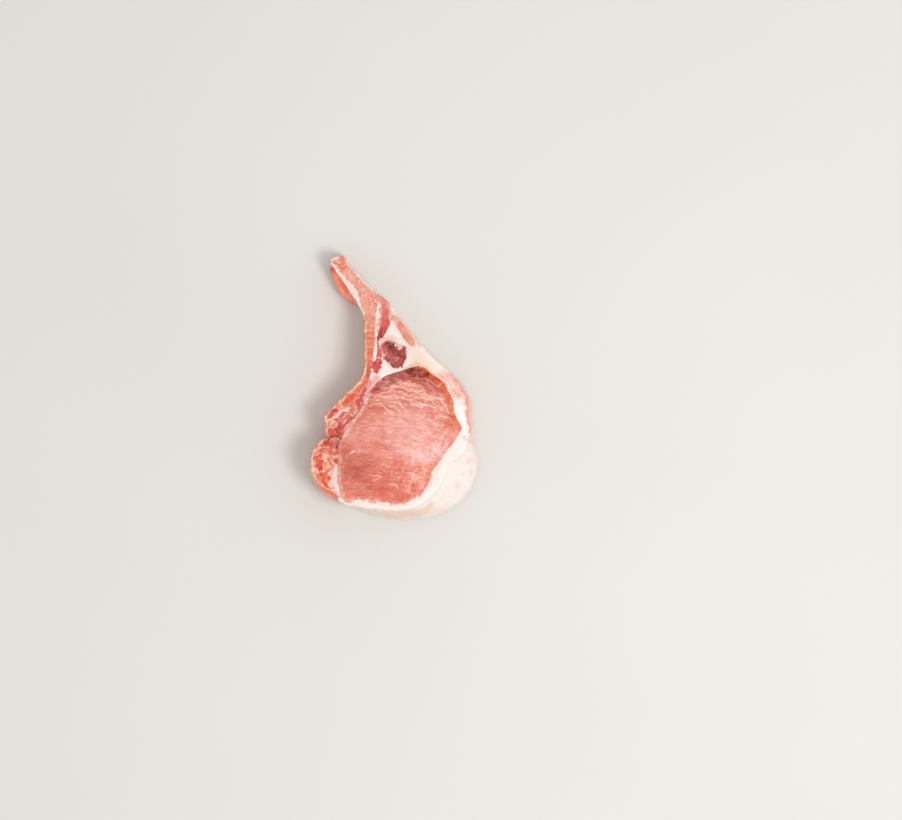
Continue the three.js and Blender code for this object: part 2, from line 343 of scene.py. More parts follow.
class Tissue:
    """One tissue of the slice, with what is known at each point of its skin."""

    def __init__(self, node, name, voxel_mm, smooth_rounds=6):
        self.node, self.skin = node, fine_skin(node, name, voxel_mm, smooth_rounds)
        mesh = self.skin.data
        values = np.zeros(3 * len(mesh.vertices), np.float32)
        mesh.vertices.foreach_get("co", values)
        self.spots = values.reshape(-1, 3).astype(float) / MM
        mesh.vertex_normals.foreach_get("vector", values)
        self.facing = values.reshape(-1, 3).astype(float)
        self.top = eased(*TOP_TILT, self.facing[:, 2])
        self.rise, self.pull = np.zeros(len(self.spots)), np.zeros((len(self.spots), 2))
        corners, faces, normals = solid_in_mm(node)
        self.solid = tree_of([(corners, faces)])
        others = tree_of(solid_in_mm(other)[:2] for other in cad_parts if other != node)
        self.seam = gaps_to(others, self.spots)
        open_walls = []
        for face, normal in zip(faces, normals):
            middle = sum((corners[index] for index in face), Vector()) / len(face)
            if abs(normal.z) < WALL_TILT and others.find_nearest(middle, TOUCHING_MM)[3] is None:
                open_walls.append(face)
        self.wall = np.full(len(self.spots), FAR_MM)
        if open_walls:
            self.wall = gaps_to(tree_of([(corners, open_walls)]), self.spots)
        print(f"{name}: {2 * len(mesh.polygons)} triangles, {len(open_walls)} open wall facets")

    def keep(self, label, values):
        """Stores a value, a vector or a colour at each point, where a material can read it."""
        values = np.asarray(values, np.float32)
        kind, field = ("FLOAT", "value") if values.ndim == 1 else ("FLOAT_VECTOR", "vector")
        self.skin.data.attributes.new(label, kind, "POINT").data.foreach_set(field, values.ravel())


def leaned(tissue, reach_mm):
    """A tissue's spots, strayed, and leaning sideways ever more down its walls."""
    moved = strayed(tissue.spots, reach_mm)
    down = np.maximum(CUT_FACE_MM - tissue.spots[:, 2], 0) * (1 - tissue.top)
    moved[:, :2] += down[:, None] * drift(tissue.spots, LEAN, 1)
    return moved


def deep_wall(tissue, marked_mm=MARKED_MM, plain_mm=PLAIN_MM):
    """0 on the cut face and on the walls down to a ragged height, 1 on the plain walls below."""
    ragged = relief(tissue.spots * (1, 1, DEPTH_SHARE), WALL_RAG)
    return (1 - tissue.top) * eased(marked_mm, plain_mm, tissue.spots[:, 2] + ragged)


eye = Tissue("eye_muscle", "eye_of_lean", 0.31)
cover = Tissue("fat_cover", "white_fat_cover", 0.42, smooth_rounds=10)
rib = Tissue("rib_bone", "sawn_rib", 0.26)
rib_meat = Tissue("rib_meat", "meat_along_rib", 0.28)
flap = Tissue("flap_muscle", "side_flap", 0.28)
tail = Tissue("tail_muscle", "marbled_tail", 0.28)
back = Tissue("back_strip", "back_edge_strip", 0.28)
seam = Tissue("seam_muscle", "dark_seam_meat", 0.28)
marrow = Tissue("chine_marrow", "red_chine_marrow", 0.24)

# %% [markdown]
# ## Nodes in a maker's words
# Wiring each node of a material by hand hides what the tree does. Finish keeps the wiring in one place:
# its methods add a node or a short chain and give back the output, so a finish reads like a recipe.
# Colours are given in rows and laid over each other like washes of paint. Patterns are read at spot_mm,
# the point's own place in millimetres, which is kept on the mesh, so they stay on the meat however it is
# turned.

# %% Node helper
class Finish:
    """A material under construction on a Principled shader."""

    def __init__(self, name, **constants):
        self.material = bpy.data.materials.new(name)
        self.material.use_nodes = True
        self.nodes = self.material.node_tree.nodes
        self.feed(**constants)

    def feed(self, **sockets):
        """Sets or links sockets of the shader, whose names are written with underscores for spaces."""
        for socket, value in sockets.items():
            self.set(self.nodes["Principled BSDF"].inputs[socket.replace("_", " ")], value)

    def set(self, socket, value):
        """Links an output to a socket, or sets a plain value on it."""
        if isinstance(value, bpy.types.NodeSocket):
            self.material.node_tree.links.new(value, socket)
        else:
            socket.default_value = value

    def add(self, kind, result, values, **settings):
        """Adds a node with its settings, fills its inputs, and gives back one output."""
        node = self.nodes.new(kind)
        for setting, value in settings.items():
            setattr(node, setting, value)
        for socket, value in values.items():
            self.set(node.inputs[socket], value)
        return node.outputs[result]

    def kept(self, label, output="Fac"):
        return self.add("ShaderNodeAttribute", output, {}, attribute_name=label)

    def cloud(self, where, size, seed, detail=2.0, roughness=0.5):
        values = {"Vector": where, "W": seed, "Scale": 1 / size, "Detail": detail, "Roughness": roughness}
        return self.add("ShaderNodeTexNoise", "Fac", values, noise_dimensions="4D")

    def grains(self, where, size):
        return self.add("ShaderNodeTexVoronoi", "Distance", {"Vector": where, "Scale": 1 / size})

    def step(self, value, low, high):
        values = {"Value": value, "From Min": low, "From Max": high}
        return self.add("ShaderNodeMapRange", "Result", values, interpolation_type="SMOOTHSTEP")

    def sum(self, value, times, plus):
        return self.add("ShaderNodeMath", 0, {0: value, 1: times, 2: plus}, operation="MULTIPLY_ADD")

    def product(self, value, other):
        return self.add("ShaderNodeMath", 0, {0: value, 1: other}, operation="MULTIPLY")

    def frayed(self, label, pattern, depth_mm):
        """A kept distance that wavers with a pattern."""
        return self.sum(self.kept(label), 1.0, self.sum(pattern, 2 * depth_mm, -depth_mm))

    def over(self, share, under, upper, blend="MIX"):
        values = {0: share, 6: under, 7: upper}
        return self.add("ShaderNodeMix", 2, values, data_type="RGBA", blend_type=blend)

    def layered(self, tone, rows, blend):
        """Lays colours over a tone, one after the other. Each row has a pattern, the values where the
        pattern starts and is full, the share of the colour that comes through, and the colour."""
        for pattern, start, full, share, colour in rows:
            mask = self.step(pattern, start, full)
            if share != 1:
                mask = self.product(mask, share)
            tone = self.over(mask, tone, colour, blend)
        return tone

    def painted(self, tone, rows):
        """Covers a tone with paints."""
        return self.layered(tone, [(*row, paint(*colour)) for *row, colour in rows], "MIX")

    def stained(self, tone, rows):
        """Multiplies the red, green and blue of a tone by factors."""
        return self.layered(tone, [(*row, (*factors, 1)) for *row, factors in rows], "MULTIPLY")

    def bumps(self, height, depth_mm):
        return self.add("ShaderNodeBump", "Normal", {"Height": height, "Distance": depth_mm * MM})


floor_finish = Finish("pale_floor", Roughness=0.8)
floor_spot = floor_finish.add("ShaderNodeTexCoord", "Object", {})
floor_cloud = floor_finish.cloud(floor_spot, 0.12, 1.0)
floor_finish.feed(Base_Color=floor_finish.over(floor_cloud, paint(236, 233, 228), paint(231, 228, 222)))
floor_mesh.materials.append(floor_finish.material)
print("floor finish has", len(floor_finish.nodes), "nodes")

# %% [markdown]
# ## Finish of the eye
# Wet lean is pigment under a thin film of juice: light enters, spreads a little and comes back redder,
# and the film glints. So a lean finish has some subsurface light, a light coat and fine bumps. The broad
# tone comes from the mesh. Fibre bundles that were cut at a slant show as short strokes: stretched noise
# gives them shades and hues, and adds pale dashes and darker gaps in two directions, because one alone
# looks like wood. Three shares from the mesh say how strong the strokes are, where the upper part
# darkens, and where the painted shade under the fat rim gets a coarse dark and pale mottle. Threads of
# fat are drawn where the kept distance is below zero, with noise added so that they fray.

# %% Eye finish
FLESH_SPREAD = (1.0, 0.35, 0.25)
SHEEN = 0.35
EYE_COAT, DRIED = 0.25, 0.9


def moist(name, glow, glow_mm, **film):
    """A finish with light inside it, which spreads furthest in red, under a film of juice."""
    return Finish(name, Subsurface_Weight=glow, Subsurface_Radius=FLESH_SPREAD,
                  Subsurface_Scale=glow_mm * MM, **film)


eye_lean = moist("pale_pink_lean", 0.1, 1.2, Coat_Roughness=0.2)
wet = eye_lean.sum(eye_lean.kept("dry"), -DRIED, 1.0)
eye_lean.feed(Coat_Weight=eye_lean.product(wet, EYE_COAT),
              Specular_IOR_Level=eye_lean.product(wet, SHEEN))
eye_spot, eye_grain = eye_lean.kept("spot_mm", "Vector"), eye_lean.kept("grain", "Vector")
fleck_share, upper_share, shade_mottle_share = (eye_lean.kept(area) for area in ("fleck", "upper", "shade_mottle"))
clouds = eye_lean.cloud(eye_spot, 5.0, 1.0, detail=4.0, roughness=0.6)
bundles = eye_lean.cloud(eye_grain, 1.9, 5.0, roughness=0.45)
hues = eye_lean.cloud(eye_grain, 2.6, 6.0, detail=1.0)
dashes = eye_lean.cloud(eye_grain, 0.6, 2.0, detail=1.0)
cross_dashes = eye_lean.cloud(eye_lean.kept("cross_grain", "Vector"), 0.6, 3.0, detail=1.0)
nicks = eye_lean.cloud(eye_grain, 0.75, 8.0, detail=1.0)
specks = eye_lean.cloud(eye_spot, 0.5, 4.0)
crown_mottle = eye_lean.cloud(eye_spot, 1.5, 7.0, detail=4.0, roughness=0.7)

eye_tone = eye_lean.stained(eye_lean.kept("tone", "Vector"), [
    (clouds, 0.55, 0.32, 1, (0.94, 0.82, 0.78)),
    (hues, 0.48, 0.66, 1, (0.985, 0.85, 0.74)),
    (hues, 0.47, 0.34, 1, (1.0, 0.95, 1.06)),
    (bundles, 0.5, 0.32, fleck_share, (0.9, 0.72, 0.68)),
    (dashes, 0.46, 0.34, fleck_share, (0.87, 0.64, 0.6)),
    (bundles, 0.52, 0.36, upper_share, (0.8, 0.58, 0.55)),
    (dashes, 0.5, 0.62, upper_share, (1.03, 1.14, 1.16)),
    (cross_dashes, 0.43, 0.31, fleck_share, (0.9, 0.72, 0.68)),
    (bundles, 0.52, 0.7, fleck_share, (1.05, 1.28, 1.32)),
    (dashes, 0.55, 0.66, fleck_share, (1.08, 1.66, 1.74)),
    (cross_dashes, 0.57, 0.67, fleck_share, (1.08, 1.62, 1.7)),
    (nicks, 0.37, 0.29, 1, (0.88, 0.64, 0.62)),
    (nicks, 0.61, 0.69, 1, (1.06, 1.46, 1.5)),
    # painted shade under the fat rim gets a coarse dark and pale mottle
    (crown_mottle, 0.52, 0.4, shade_mottle_share, (0.56, 0.4, 0.36)),
    (crown_mottle, 0.53, 0.64, shade_mottle_share, (1.35, 1.75, 1.85)),
])
thread_gap, rag_gap = (eye_lean.frayed(label, specks, 0.25) for label in ("thread_mm", "rag_mm"))
eye_lean_colour = eye_lean.painted(eye_tone, [
    (thread_gap, 0.6, 0.0, 0.25, (250, 190, 174)),
    (thread_gap, 0.18, -0.15, 0.8, (255, 216, 200)),
    (rag_gap, 1.4, 0.2, 0.5, (250, 196, 182)),
    (rag_gap, 0.45, -0.3, 1, (254, 236, 227)),
])
eye_lean.feed(Base_Color=eye_lean_colour, Roughness=eye_lean.sum(clouds, 0.3, 0.25),
              Normal=eye_lean.bumps(eye_lean.sum(specks, 0.35, dashes), 0.14))
print("eye finish has", len(eye_lean.nodes), "nodes")

# %% [markdown]
# ## Finish of the other meats
# The strips beside the eye are coarser and redder. Their bundles already have their own tones on the
# mesh, so the nodes only add mottling, specks of fat, and the frayed threads. One recipe serves both the
# orange-red side meats and the deep red seam, with other paints.

# %% Side meat finishes
def side_finish(name, deep, pale, speck, thread, halo):
    """Moist coarse meat: mottled tone, pale specks, and frayed threads of fat with a soft halo."""
    meat = moist(name, 0.12, 1.5, Coat_Weight=0.35, Coat_Roughness=0.18, Specular_IOR_Level=SHEEN)
    spot = meat.kept("spot_mm", "Vector")
    mottle = meat.cloud(spot, 1.9, 1.0, detail=4.0, roughness=0.65)
    flecks = meat.cloud(spot, 0.55, 2.0)
    streaks = meat.cloud(meat.kept("grain", "Vector"), 1.0, 3.0)
    gap = meat.frayed("thread_mm", flecks, 0.45)
    tone = meat.stained(meat.kept("tone", "Vector"), [
        (mottle, 0.52, 0.3, 1, deep),
        (streaks, 0.46, 0.3, 0.8, deep),
    ])
    meat_colour = meat.painted(tone, [
        (mottle, 0.53, 0.7, 0.55, pale),
        (streaks, 0.55, 0.72, 0.6, pale),
        (flecks, 0.6, 0.78, 0.5, speck),
        (gap, 0.7, 0.0, 0.45, halo),
        (gap, 0.2, -0.25, 0.85, thread),
    ])
    meat.feed(Base_Color=meat_colour, Roughness=meat.sum(mottle, 0.3, 0.2),
              Normal=meat.bumps(meat.sum(flecks, 0.4, mottle), 0.25))
    return meat


side_lean = side_finish("orange_red_lean", deep=(0.88, 0.66, 0.6), pale=(250, 166, 136),
                        speck=(252, 200, 178), thread=(254, 218, 204), halo=(246, 162, 136))
seam_lean = side_finish("deep_red_lean", deep=(0.84, 0.62, 0.66), pale=(236, 122, 112),
                        speck=(246, 170, 160), thread=(252, 208, 198), halo=(236, 136, 128))
print("meat finishes:", side_lean.material.name, seam_lean.material.name)

# %% [markdown]
# ## Finishes of fat, bone and marrow
# Firm fat is waxy: white with a little pink shining through, and much smoother than lean. It gets more
# subsurface light, soft clouds, and pink membrane only where the mesh says so. Sawn bone is a sponge of
# fine grains between pale and orange pink, inside a hard white rim. Marrow in the chine is darker, with a
# rough face.

# %% Fat finish
fat = moist("waxy_white_fat", 0.25, 2.5, Coat_Weight=0.12, Coat_Roughness=0.28, Specular_IOR_Level=SHEEN)
fat_spot, band_share = fat.kept("spot_mm", "Vector"), fat.kept("band_share")
fat_cloud = fat.cloud(fat_spot, 5.0, 1.0, detail=4.0)
fat_speckle = fat.cloud(fat_spot, 0.8, 2.0, detail=3.0)
fat_streaks = fat.cloud(fat.kept("band", "Vector"), 1.0, 3.0, detail=3.0, roughness=0.6)
membrane, crease = (fat.frayed(label, fat_speckle, 0.35) for label in ("membrane_mm", "crease_mm"))
fat_colour = fat.painted(fat.kept("tone", "Vector"), [
    (fat_cloud, 0.52, 0.75, 0.35, (248, 220, 210)),
    (fat_speckle, 0.6, 0.8, 0.4, (255, 251, 248)),
    (fat_streaks, 0.5, 0.6, band_share, (240, 142, 128)),
    (fat_streaks, 0.46, 0.36, band_share, (255, 246, 240)),
    (membrane, 0.3, -0.25, 0.85, (236, 158, 146)),
    # tan along the crease lines: painted shade at the fold
    (crease, 0.3, -0.2, 0.55, (232, 206, 184)),
])
fat.feed(Base_Color=fat_colour, Roughness=fat.sum(fat_cloud, 0.25, 0.33),
         Normal=fat.bumps(fat.sum(fat_speckle, 0.6, fat_cloud), 0.14))
print("fat finish has", len(fat.nodes), "nodes")

# %% Bone and marrow finishes
bone = moist("sawn_bone", 0.1, 1.2, Coat_Weight=0.15, Coat_Roughness=0.3, Specular_IOR_Level=SHEEN)
bone_spot = bone.kept("spot_mm", "Vector")
sponge = bone.cloud(bone_spot, 1.0, 1.0, roughness=0.6)
cells = bone.grains(bone_spot, 0.85)
hard_rim = bone.frayed("thread_mm", bone.cloud(bone_spot, 1.0, 2.0, detail=3.0), 0.6)
bone_colour = bone.painted(bone.kept("tone", "Vector"), [
    (sponge, 0.52, 0.64, 0.85, (252, 208, 193)),
    (sponge, 0.46, 0.32, 0.85, (231, 118, 94)),
    (hard_rim, 0.25, -0.2, 0.95, (253, 233, 222)),
])
bone.feed(Base_Color=bone_colour, Roughness=bone.sum(cells, 0.3, 0.33),
          Normal=bone.bumps(bone.sum(sponge, 1.0, bone.product(cells, -0.6)), 0.2))

core = moist("dark_marrow", 0.08, 1.2, Coat_Weight=0.3, Coat_Roughness=0.2, Specular_IOR_Level=SHEEN)
core_spot = core.kept("spot_mm", "Vector")
core_cloud = core.cloud(core_spot, 1.5, 1.0, detail=4.0, roughness=0.65)
core_specks = core.cloud(core_spot, 0.5, 2.0)
core_strokes = core.cloud(core.kept("grain", "Vector"), 0.9, 3.0)
tooth_gap = core.frayed("thread_mm", core_specks, 0.5)
core_tone = core.stained(core.kept("tone", "Vector"), [
    (core_cloud, 0.5, 0.34, 1, (0.62, 0.5, 0.52)),
    (core_strokes, 0.47, 0.36, 1, (0.66, 0.5, 0.5)),
])
core_colour = core.painted(core_tone, [
    (core_cloud, 0.54, 0.74, 0.6, (214, 124, 120)),
    (core_strokes, 0.55, 0.66, 0.45, (222, 128, 122)),
    (core_specks, 0.6, 0.76, 0.5, (240, 176, 170)),
    (tooth_gap, 0.3, -0.3, 0.9, (250, 208, 196)),
])
core.feed(Base_Color=core_colour, Roughness=core.sum(core_cloud, 0.3, 0.28),
          Normal=core.bumps(core.sum(core_specks, 0.5, core_cloud), 0.4))
print("bone and marrow finishes:", len(bone.nodes), len(core.nodes), "nodes")

# %% [markdown]
# ## Settling a tissue
# The solids leave a hair's gap between tissues, and smoothing rounds their rims, so a groove would show
# where the knife left none. Two moves close it. Each skin swells sideways into its neighbour, and rim
# points beside a neighbour are lifted to the height of the cut, which a ray from above finds a step
# inside the rim. The outlines also wander by a noise that all tissues share, so neighbours stay matched,
# and pulled() moves an outline at one place, such as a corner that smoothing took away. The underside
# stays flat on the floor.

# %% Settling
SEAM_SWELL_MM, OPEN_SWELL_MM = 0.55, 0.45
SEAM_FADE_MM, OPEN_FADE_MM, FLOOR_FADE_MM = (0.35, 0.9), (0.4, 1.5), (0.4, 2.5)
RIM_STEP_MM, RIM_DROP_MM, RIM_REACH_MM = 0.7, 1.2, 1.1
RIM_TILT = (0.05, 0.35)
SKY_MM = 60
WANDER, WANDER_DEPTH_SHARE, FREE_MM = [(0.4, 6.0, 3), (0.3, 2.2, 7)], 0.25, 0.5


def rim_lift(tissue):
    """How far each rim point beside a neighbour has to rise to lie in the cut face again."""
    lift = np.zeros(len(tissue.spots))
    sideways = np.linalg.norm(tissue.facing[:, :2], axis=1)
    at_rim = (tissue.seam < RIM_REACH_MM) & (np.minimum(tissue.facing[:, 2], sideways) > RIM_TILT[0])
    for index in np.flatnonzero(at_rim):
        inwards = tissue.spots[index, :2] - RIM_STEP_MM * tissue.facing[index, :2] / sideways[index]
        hit = tissue.solid.ray_cast(Vector((*inwards, SKY_MM)), Vector((0, 0, -1)))[0]
        if hit is not None:
            lift[index] = hit.z - tissue.spots[index, 2]
    beside = 1 - eased(0.5 * RIM_REACH_MM, RIM_REACH_MM, tissue.seam)
    return np.clip(lift, 0, RIM_DROP_MM) * beside * eased(*RIM_TILT, tissue.facing[:, 2])


def pulled(tissue, middle, reaches, turn, shift):
    """Pulls the outline sideways by shift, in mm, around one place."""
    tissue.pull += inside(tissue.spots, middle, reaches, turn, edge=2)[:, None] * shift


def settle(tissue, finish, open_drift=1.0):
    """Moves a skin to its final form, finishes it, and ties it to the frame."""
    spots, facing = tissue.spots, tissue.facing
    above_floor = eased(*FLOOR_FADE_MM, spots[:, 2])
    open_swell = OPEN_SWELL_MM * (1 - tissue.top) * (1 - eased(*OPEN_FADE_MM, tissue.wall))
    moved = spots + facing * ((tissue.rise + open_swell) * above_floor)[:, None]
    swell = SEAM_SWELL_MM * (1 - eased(*SEAM_FADE_MM, tissue.seam))
    free = 1 - (1 - open_drift) * eased(FREE_MM, FAR_MM, tissue.seam)
    wander = drift(spots, WANDER, WANDER_DEPTH_SHARE)
    moved[:, :2] += facing[:, :2] * swell[:, None] + wander * free[:, None] + tissue.pull
    moved[:, 2] = np.maximum(moved[:, 2] + rim_lift(tissue), 0)
    mesh = tissue.skin.data
    mesh.vertices.foreach_set("co", (moved * MM).astype(np.float32).ravel())
    mesh.update()
    tissue.keep("spot_mm", spots)
    mesh.materials.append(finish.material)
    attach(tissue.skin, "root")
    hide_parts(tissue.node)
    print(f"{tissue.skin.name}: rises {tissue.rise.min():.2f} to {tissue.rise.max():.2f} mm")


print("outlines wander by up to", sum(reach for reach, size, seed in WANDER), "mm")

# %% [markdown]
# ## The eye of lean
# The eye is the chop's large oval muscle. It is palest in its middle, deeper at the lower left, and
# nearly brown under the fat rim at its top, where the cut face dips and dries: that brown is painted
# shade of the rim. An orange edge of painted shade runs down its right side under the rim, and white fat
# reaches into its lower border in ragged spikes. Its strokes slope down to the right, ever steeper: the
# level lines of one curved coordinate give that slope, and the finish is stretched along it. Where the
# border is pulled, the fat's skin is pulled with it.

# %% Marks on the eye
EYE_GROUND = (239, 150, 132)
# The orange edge down the right side is painted shade of the fat rim; the first band below carries it
# further down.
ORANGE_RIM_SHADE = ((1.4, 1.8, 1.8, 1.2), 1.4, (224, 106, 70), 0.9,
               [(15, 6.2), (18.6, 3.2), (21.2, -0.8), (23.4, -6)])
EYE_BANDS = [
    ((1.6, 1.6, 1.2, 0.4), 1.8, (228, 126, 102), 0.85,
     [(22.8, -4), (24, -7.6), (25.2, -10.6), (26.4, -14)]),
    ORANGE_RIM_SHADE,
    ((0.6, 0.8, 0.6), 0.7, (247, 176, 164), 0.7,
     [(-22.7, -27), (-22.7, -33), (-22.3, -40), (-21, -45.5)]),
    ((0.2, 0.9, 0.2), 0.8, (196, 84, 82), 0.6, [(-5.8, 2.0), (-7.2, -0.2), (-8.6, -2.4)]),
    ((0.4, 0.9, 1.1, 1.0), 0.8, (248, 196, 184), 0.7,
     [(-10, -2.6), (-12.4, -7.2), (-15.2, -12), (-18.4, -16.5), (-20.6, -20)]),
    ((0.5, 0.9, 0.5), 0.9, (228, 112, 84), 0.6, [(-8, -4.6), (-4, -3.4), (-1, -3)]),
    # The next three bands lie in the crown: a dark spot and a dark streak of painted shade, and a paler
    # streak.
    ((0.4, 1.4, 1.0, 0.4), 1.6, (112, 50, 40), 0.75, [(5.2, 7.2), (6.8, 6.8), (8.6, 6.2), (10, 5.6)]),
    ((0.2, 0.6, 0.2), 1.0, (140, 58, 46), 0.7, [(10.4, 5.4), (12.2, 5), (14.6, 5.6)]),
    ((0.2, 0.4, 0.2), 0.8, (222, 142, 124), 0.6, [(8.8, 6.8), (9.8, 5.4), (10.2, 4)]),
]
EYE_PATCHES = [
    # Patches at y above 0, along the top, are darker: painted shade under the fat rim.
    ((8, -18), (15, 9), -20, (247, 176, 164), 0.95),
    ((-10, -16), (7, 5), 20, (244, 164, 150), 0.8),
    ((0, -4), (12, 4), 0, (236, 150, 137), 0.8),
    ((-8, -6.4), (6.5, 3.6), -20, (224, 124, 110), 0.85),
    ((-14, -11.4), (5, 2.4), 50, (231, 132, 121), 0.7),
    ((10, -5.4), (7, 3.6), -10, (245, 174, 161), 0.9),
    ((-5, -0.4), (4, 1.8), 24, (210, 110, 104), 0.7),
    ((-2, 3.4), (8, 2.6), 12, (188, 98, 88), 0.9),
    ((3.2, 5.4), (4, 1.6), 14, (176, 88, 78), 0.8),
    ((15.5, 0.5), (5, 4), -40, (208, 108, 92), 0.85),
    ((11.5, 2.6), (4.5, 1.8), -15, (196, 110, 97), 0.8),
    ((24.5, -16), (4.5, 4), -30, (235, 127, 105), 0.85),
    ((-14.5, -33.5), (9, 6), -10, (208, 110, 95), 0.85),
    ((-19.6, -28), (2.2, 6), 5, (204, 108, 96), 0.6),
    ((-5, -41), (17, 6.5), -5, (229, 120, 99), 0.9),
    ((-14.5, -41.4), (7, 3.2), -8, (228, 140, 126), 0.8),
    ((-16, -36), (5, 2.2), -5, (198, 106, 91), 0.75),
    ((12, -36), (6, 5), 40, (240, 152, 132), 0.8),
    ((3, -31), (5, 3.5), -30, (231, 122, 100), 0.6),
    ((9.6, -27.4), (6.4, 3.8), -20, (249, 192, 181), 0.85),
    ((-19, -20), (3.5, 3), -40, (243, 164, 148), 0.8),
    ((18, -26.6), (4.6, 3.6), -40, (250, 198, 188), 0.85),
    ((-3, -16.6), (5, 3), -20, (248, 178, 164), 0.7),
    ((6, -43.4), (5, 3), 15, (228, 118, 96), 0.85),
    ((3, -25), (2.6, 1.8), -40, (249, 192, 180), 0.75),
    ((-2, -28), (4, 2), -15, (245, 168, 153), 0.75),
    ((10.5, 6.6), (7.0, 2.6), -10, (194, 106, 90), 1.0),
    ((16, 5.3), (4.5, 2.0), -35, (196, 104, 78), 0.9),
]
EYE_THREADS = [
    (0.3, [(-8.6, -4.2), (-5, -3.6), (-1, -4.6), (2, -4.6)]),
    (0.3, [(-2.4, -7.4), (0.4, -7.8), (2.2, -9.6), (2.8, -11)]),
    (0.3, [(-1, 0.6), (3, 0.2), (7, -0.8), (10, -2.6)]),
    (0.3, [(2, 2.4), (5.6, 1.6), (9.4, 0.2)]),
    (0.3, [(10.5, 1.2), (12.4, -1), (13.6, -3.4)]),
    (0.3, [(7, -6.4), (9.6, -7.4), (12.2, -9)]),
    (0.3, [(16, -15), (18.6, -15.4), (21, -17)]),
    (0.3, [(2, -14.6), (5, -14.9), (7.4, -16)]),
    (0.3, [(9.4, -23.6), (12, -24), (14.4, -25.2)]),
    (0.3, [(-9.5, -36.4), (-7, -36.6), (-4.6, -37.6)]),
    (0.3, [(-3, -40.4), (-0.4, -40.6), (2, -41.6)]),
    (0.3, [(5.5, -35.4), (8, -36), (10, -37.2)]),
    (0.4, [(-9, -6.5), (-6, -7), (-4, -8.5), (-2, -9.5), (-0.5, -11.5), (0, -12.5)]),
    (0.4, [(-4, -5.5), (0, -6), (2.5, -6.5), (4, -8.5), (5.5, -11.5)]),
    (0.4, [(-6, -3), (-3, -2), (0, -1.5), (4, -2.2)]),
    (0.3, [(-6, -4.2), (-2, -3.6), (2, -3.6)]),
    (0.4, [(13, -6), (16, -4.5), (19, -4.5), (21, -6.5), (23.5, -10.5)]),
    (0.35, [(14, -4.7), (16.5, -6), (19, -8), (20, -9)]),
    (0.45, [(17, -11.5), (19, -12), (21.5, -12.8), (23, -12)]),
    (0.12, [(11.6, 3.9), (14, 3.6), (16, 2.2), (18, 0.8), (19.4, 0.6)]),
    (0.1, [(13.6, 2.6), (14.6, 1.2), (16.2, 0.2)]),
    (0.45, [(12.6, -32.5), (13.5, -34), (14.2, -36)]),
    (0.35, [(-19.3, -28.3), (-17.5, -27), (-16.5, -26.2)]),
]
BORDER_PULLS = [
    ((18, -32.5), (8.5, 3.5), 55, (-1.3, 0.8)),
    ((26.8, -20), (3, 3), 0, (-0.6, 0.3)),
    ((17, 6.5), (4, 2.5), -40, (-0.3, -0.7)),
    ((25.8, -9.5), (6, 2.5), 75, (-0.7, -0.1)),
    ((15.5, -36.5), (3.5, 2.5), 55, (-0.6, 0.4)),
    ((6.5, -45.8), (4, 3), 0, (0.8, -1.2)),
]
print("eye:", len(EYE_PATCHES), "patches,", len(EYE_BANDS), "bands,", len(EYE_THREADS), "threads")

# %% Eye of lean
STROKE_SLOPE, STROKE_BEND, STROKE_MIDDLE_X = 0.2, 0.006, 2.0
STROKE_SIZES, STROKE_STRAY_MM = (4.2, 0.8, 3.0), 0.4
CROSS_TURN = 38
MARK_STRAY_MM = 0.8
# The crown, the top under the fat rim, is painted shade: brown, with a dipped face and less sheen. Its
# left end and the orange edge share its mottle.
CROWN, CROWN_DIP_MM, CROWN_SLOPE_MM = ((10.5, 6), (8, 3.2), -12), 0.9, (0.6, 2.5)
CROWN_LEFT = ((-1, 3), (8, 2.8), 14)
CROWN_CALM, EDGE_CALM, CROWN_LEFT_SHARE, EDGE_SHADE_MOTTLE, EDGE_FADE_MM = 0.85, 0.35, 0.6, 0.45, 1.5
UPPER_Y, RAGGED_Y = (-12, -3), (-38, -46)
FLECK_ALL, FLECK_LEAST, FLECK_WAVES = 0.42, 0.15, [(0.35, 7.0, 16)]
FLECK_UPPER, FLECK_RIGHT, FLECK_LOWER = (0.6, -14, -4), (0.35, 12, 20), (0.2, -26, -34)
RAG_STRETCH, RAG_WAVES, FINE_RAG_WAVES = (1, 0.3, 0.3), [(1.0, 2.4, 15)], [(0.5, 1.0, 17)]
RAG_REACH_MM, RAG_RIM_MM, RAG_FILL, NO_RAG_MM = 1.6, 0.15, 0.3, 2.0
EYE_RELIEF = [(0.25, 5.0, 12), (0.12, 1.6, 13)]

x, y, z = strayed(eye.spots, STROKE_STRAY_MM).T
across = y + STROKE_SLOPE * x + STROKE_BEND * (x - STROKE_MIDDLE_X) ** 2
eye.keep("grain", np.column_stack((x, across, z)) / STROKE_SIZES)
eye.keep("cross_grain", np.column_stack((*turned(x, across, CROSS_TURN), z)) / STROKE_SIZES)
eye_places = strayed(eye.spots, MARK_STRAY_MM)
eye.keep("tone", tinted(eye_places, EYE_GROUND, EYE_PATCHES, EYE_BANDS))
eye.keep("thread_mm", lines_gap(eye_places, EYE_THREADS))

x, y, z = eye.spots.T
in_crown = inside(eye.spots, *CROWN)
in_edge = 1 - eased(0, EDGE_FADE_MM, line_gap(eye.spots, ORANGE_RIM_SHADE[0], ORANGE_RIM_SHADE[-1]))
fleck = FLECK_ALL + relief(eye.spots, FLECK_WAVES)
for values, (share, none, full) in ((y, FLECK_UPPER), (x, FLECK_RIGHT), (y, FLECK_LOWER)):
    fleck += share * eased(none, full, values)
fleck = np.clip(fleck, FLECK_LEAST, 1)
eye.keep("fleck", fleck * (1 - CROWN_CALM * in_crown) * (1 - EDGE_CALM * in_edge))
eye.keep("dry", in_crown)
eye.keep("upper", eased(*UPPER_Y, y) * (1 - in_crown))
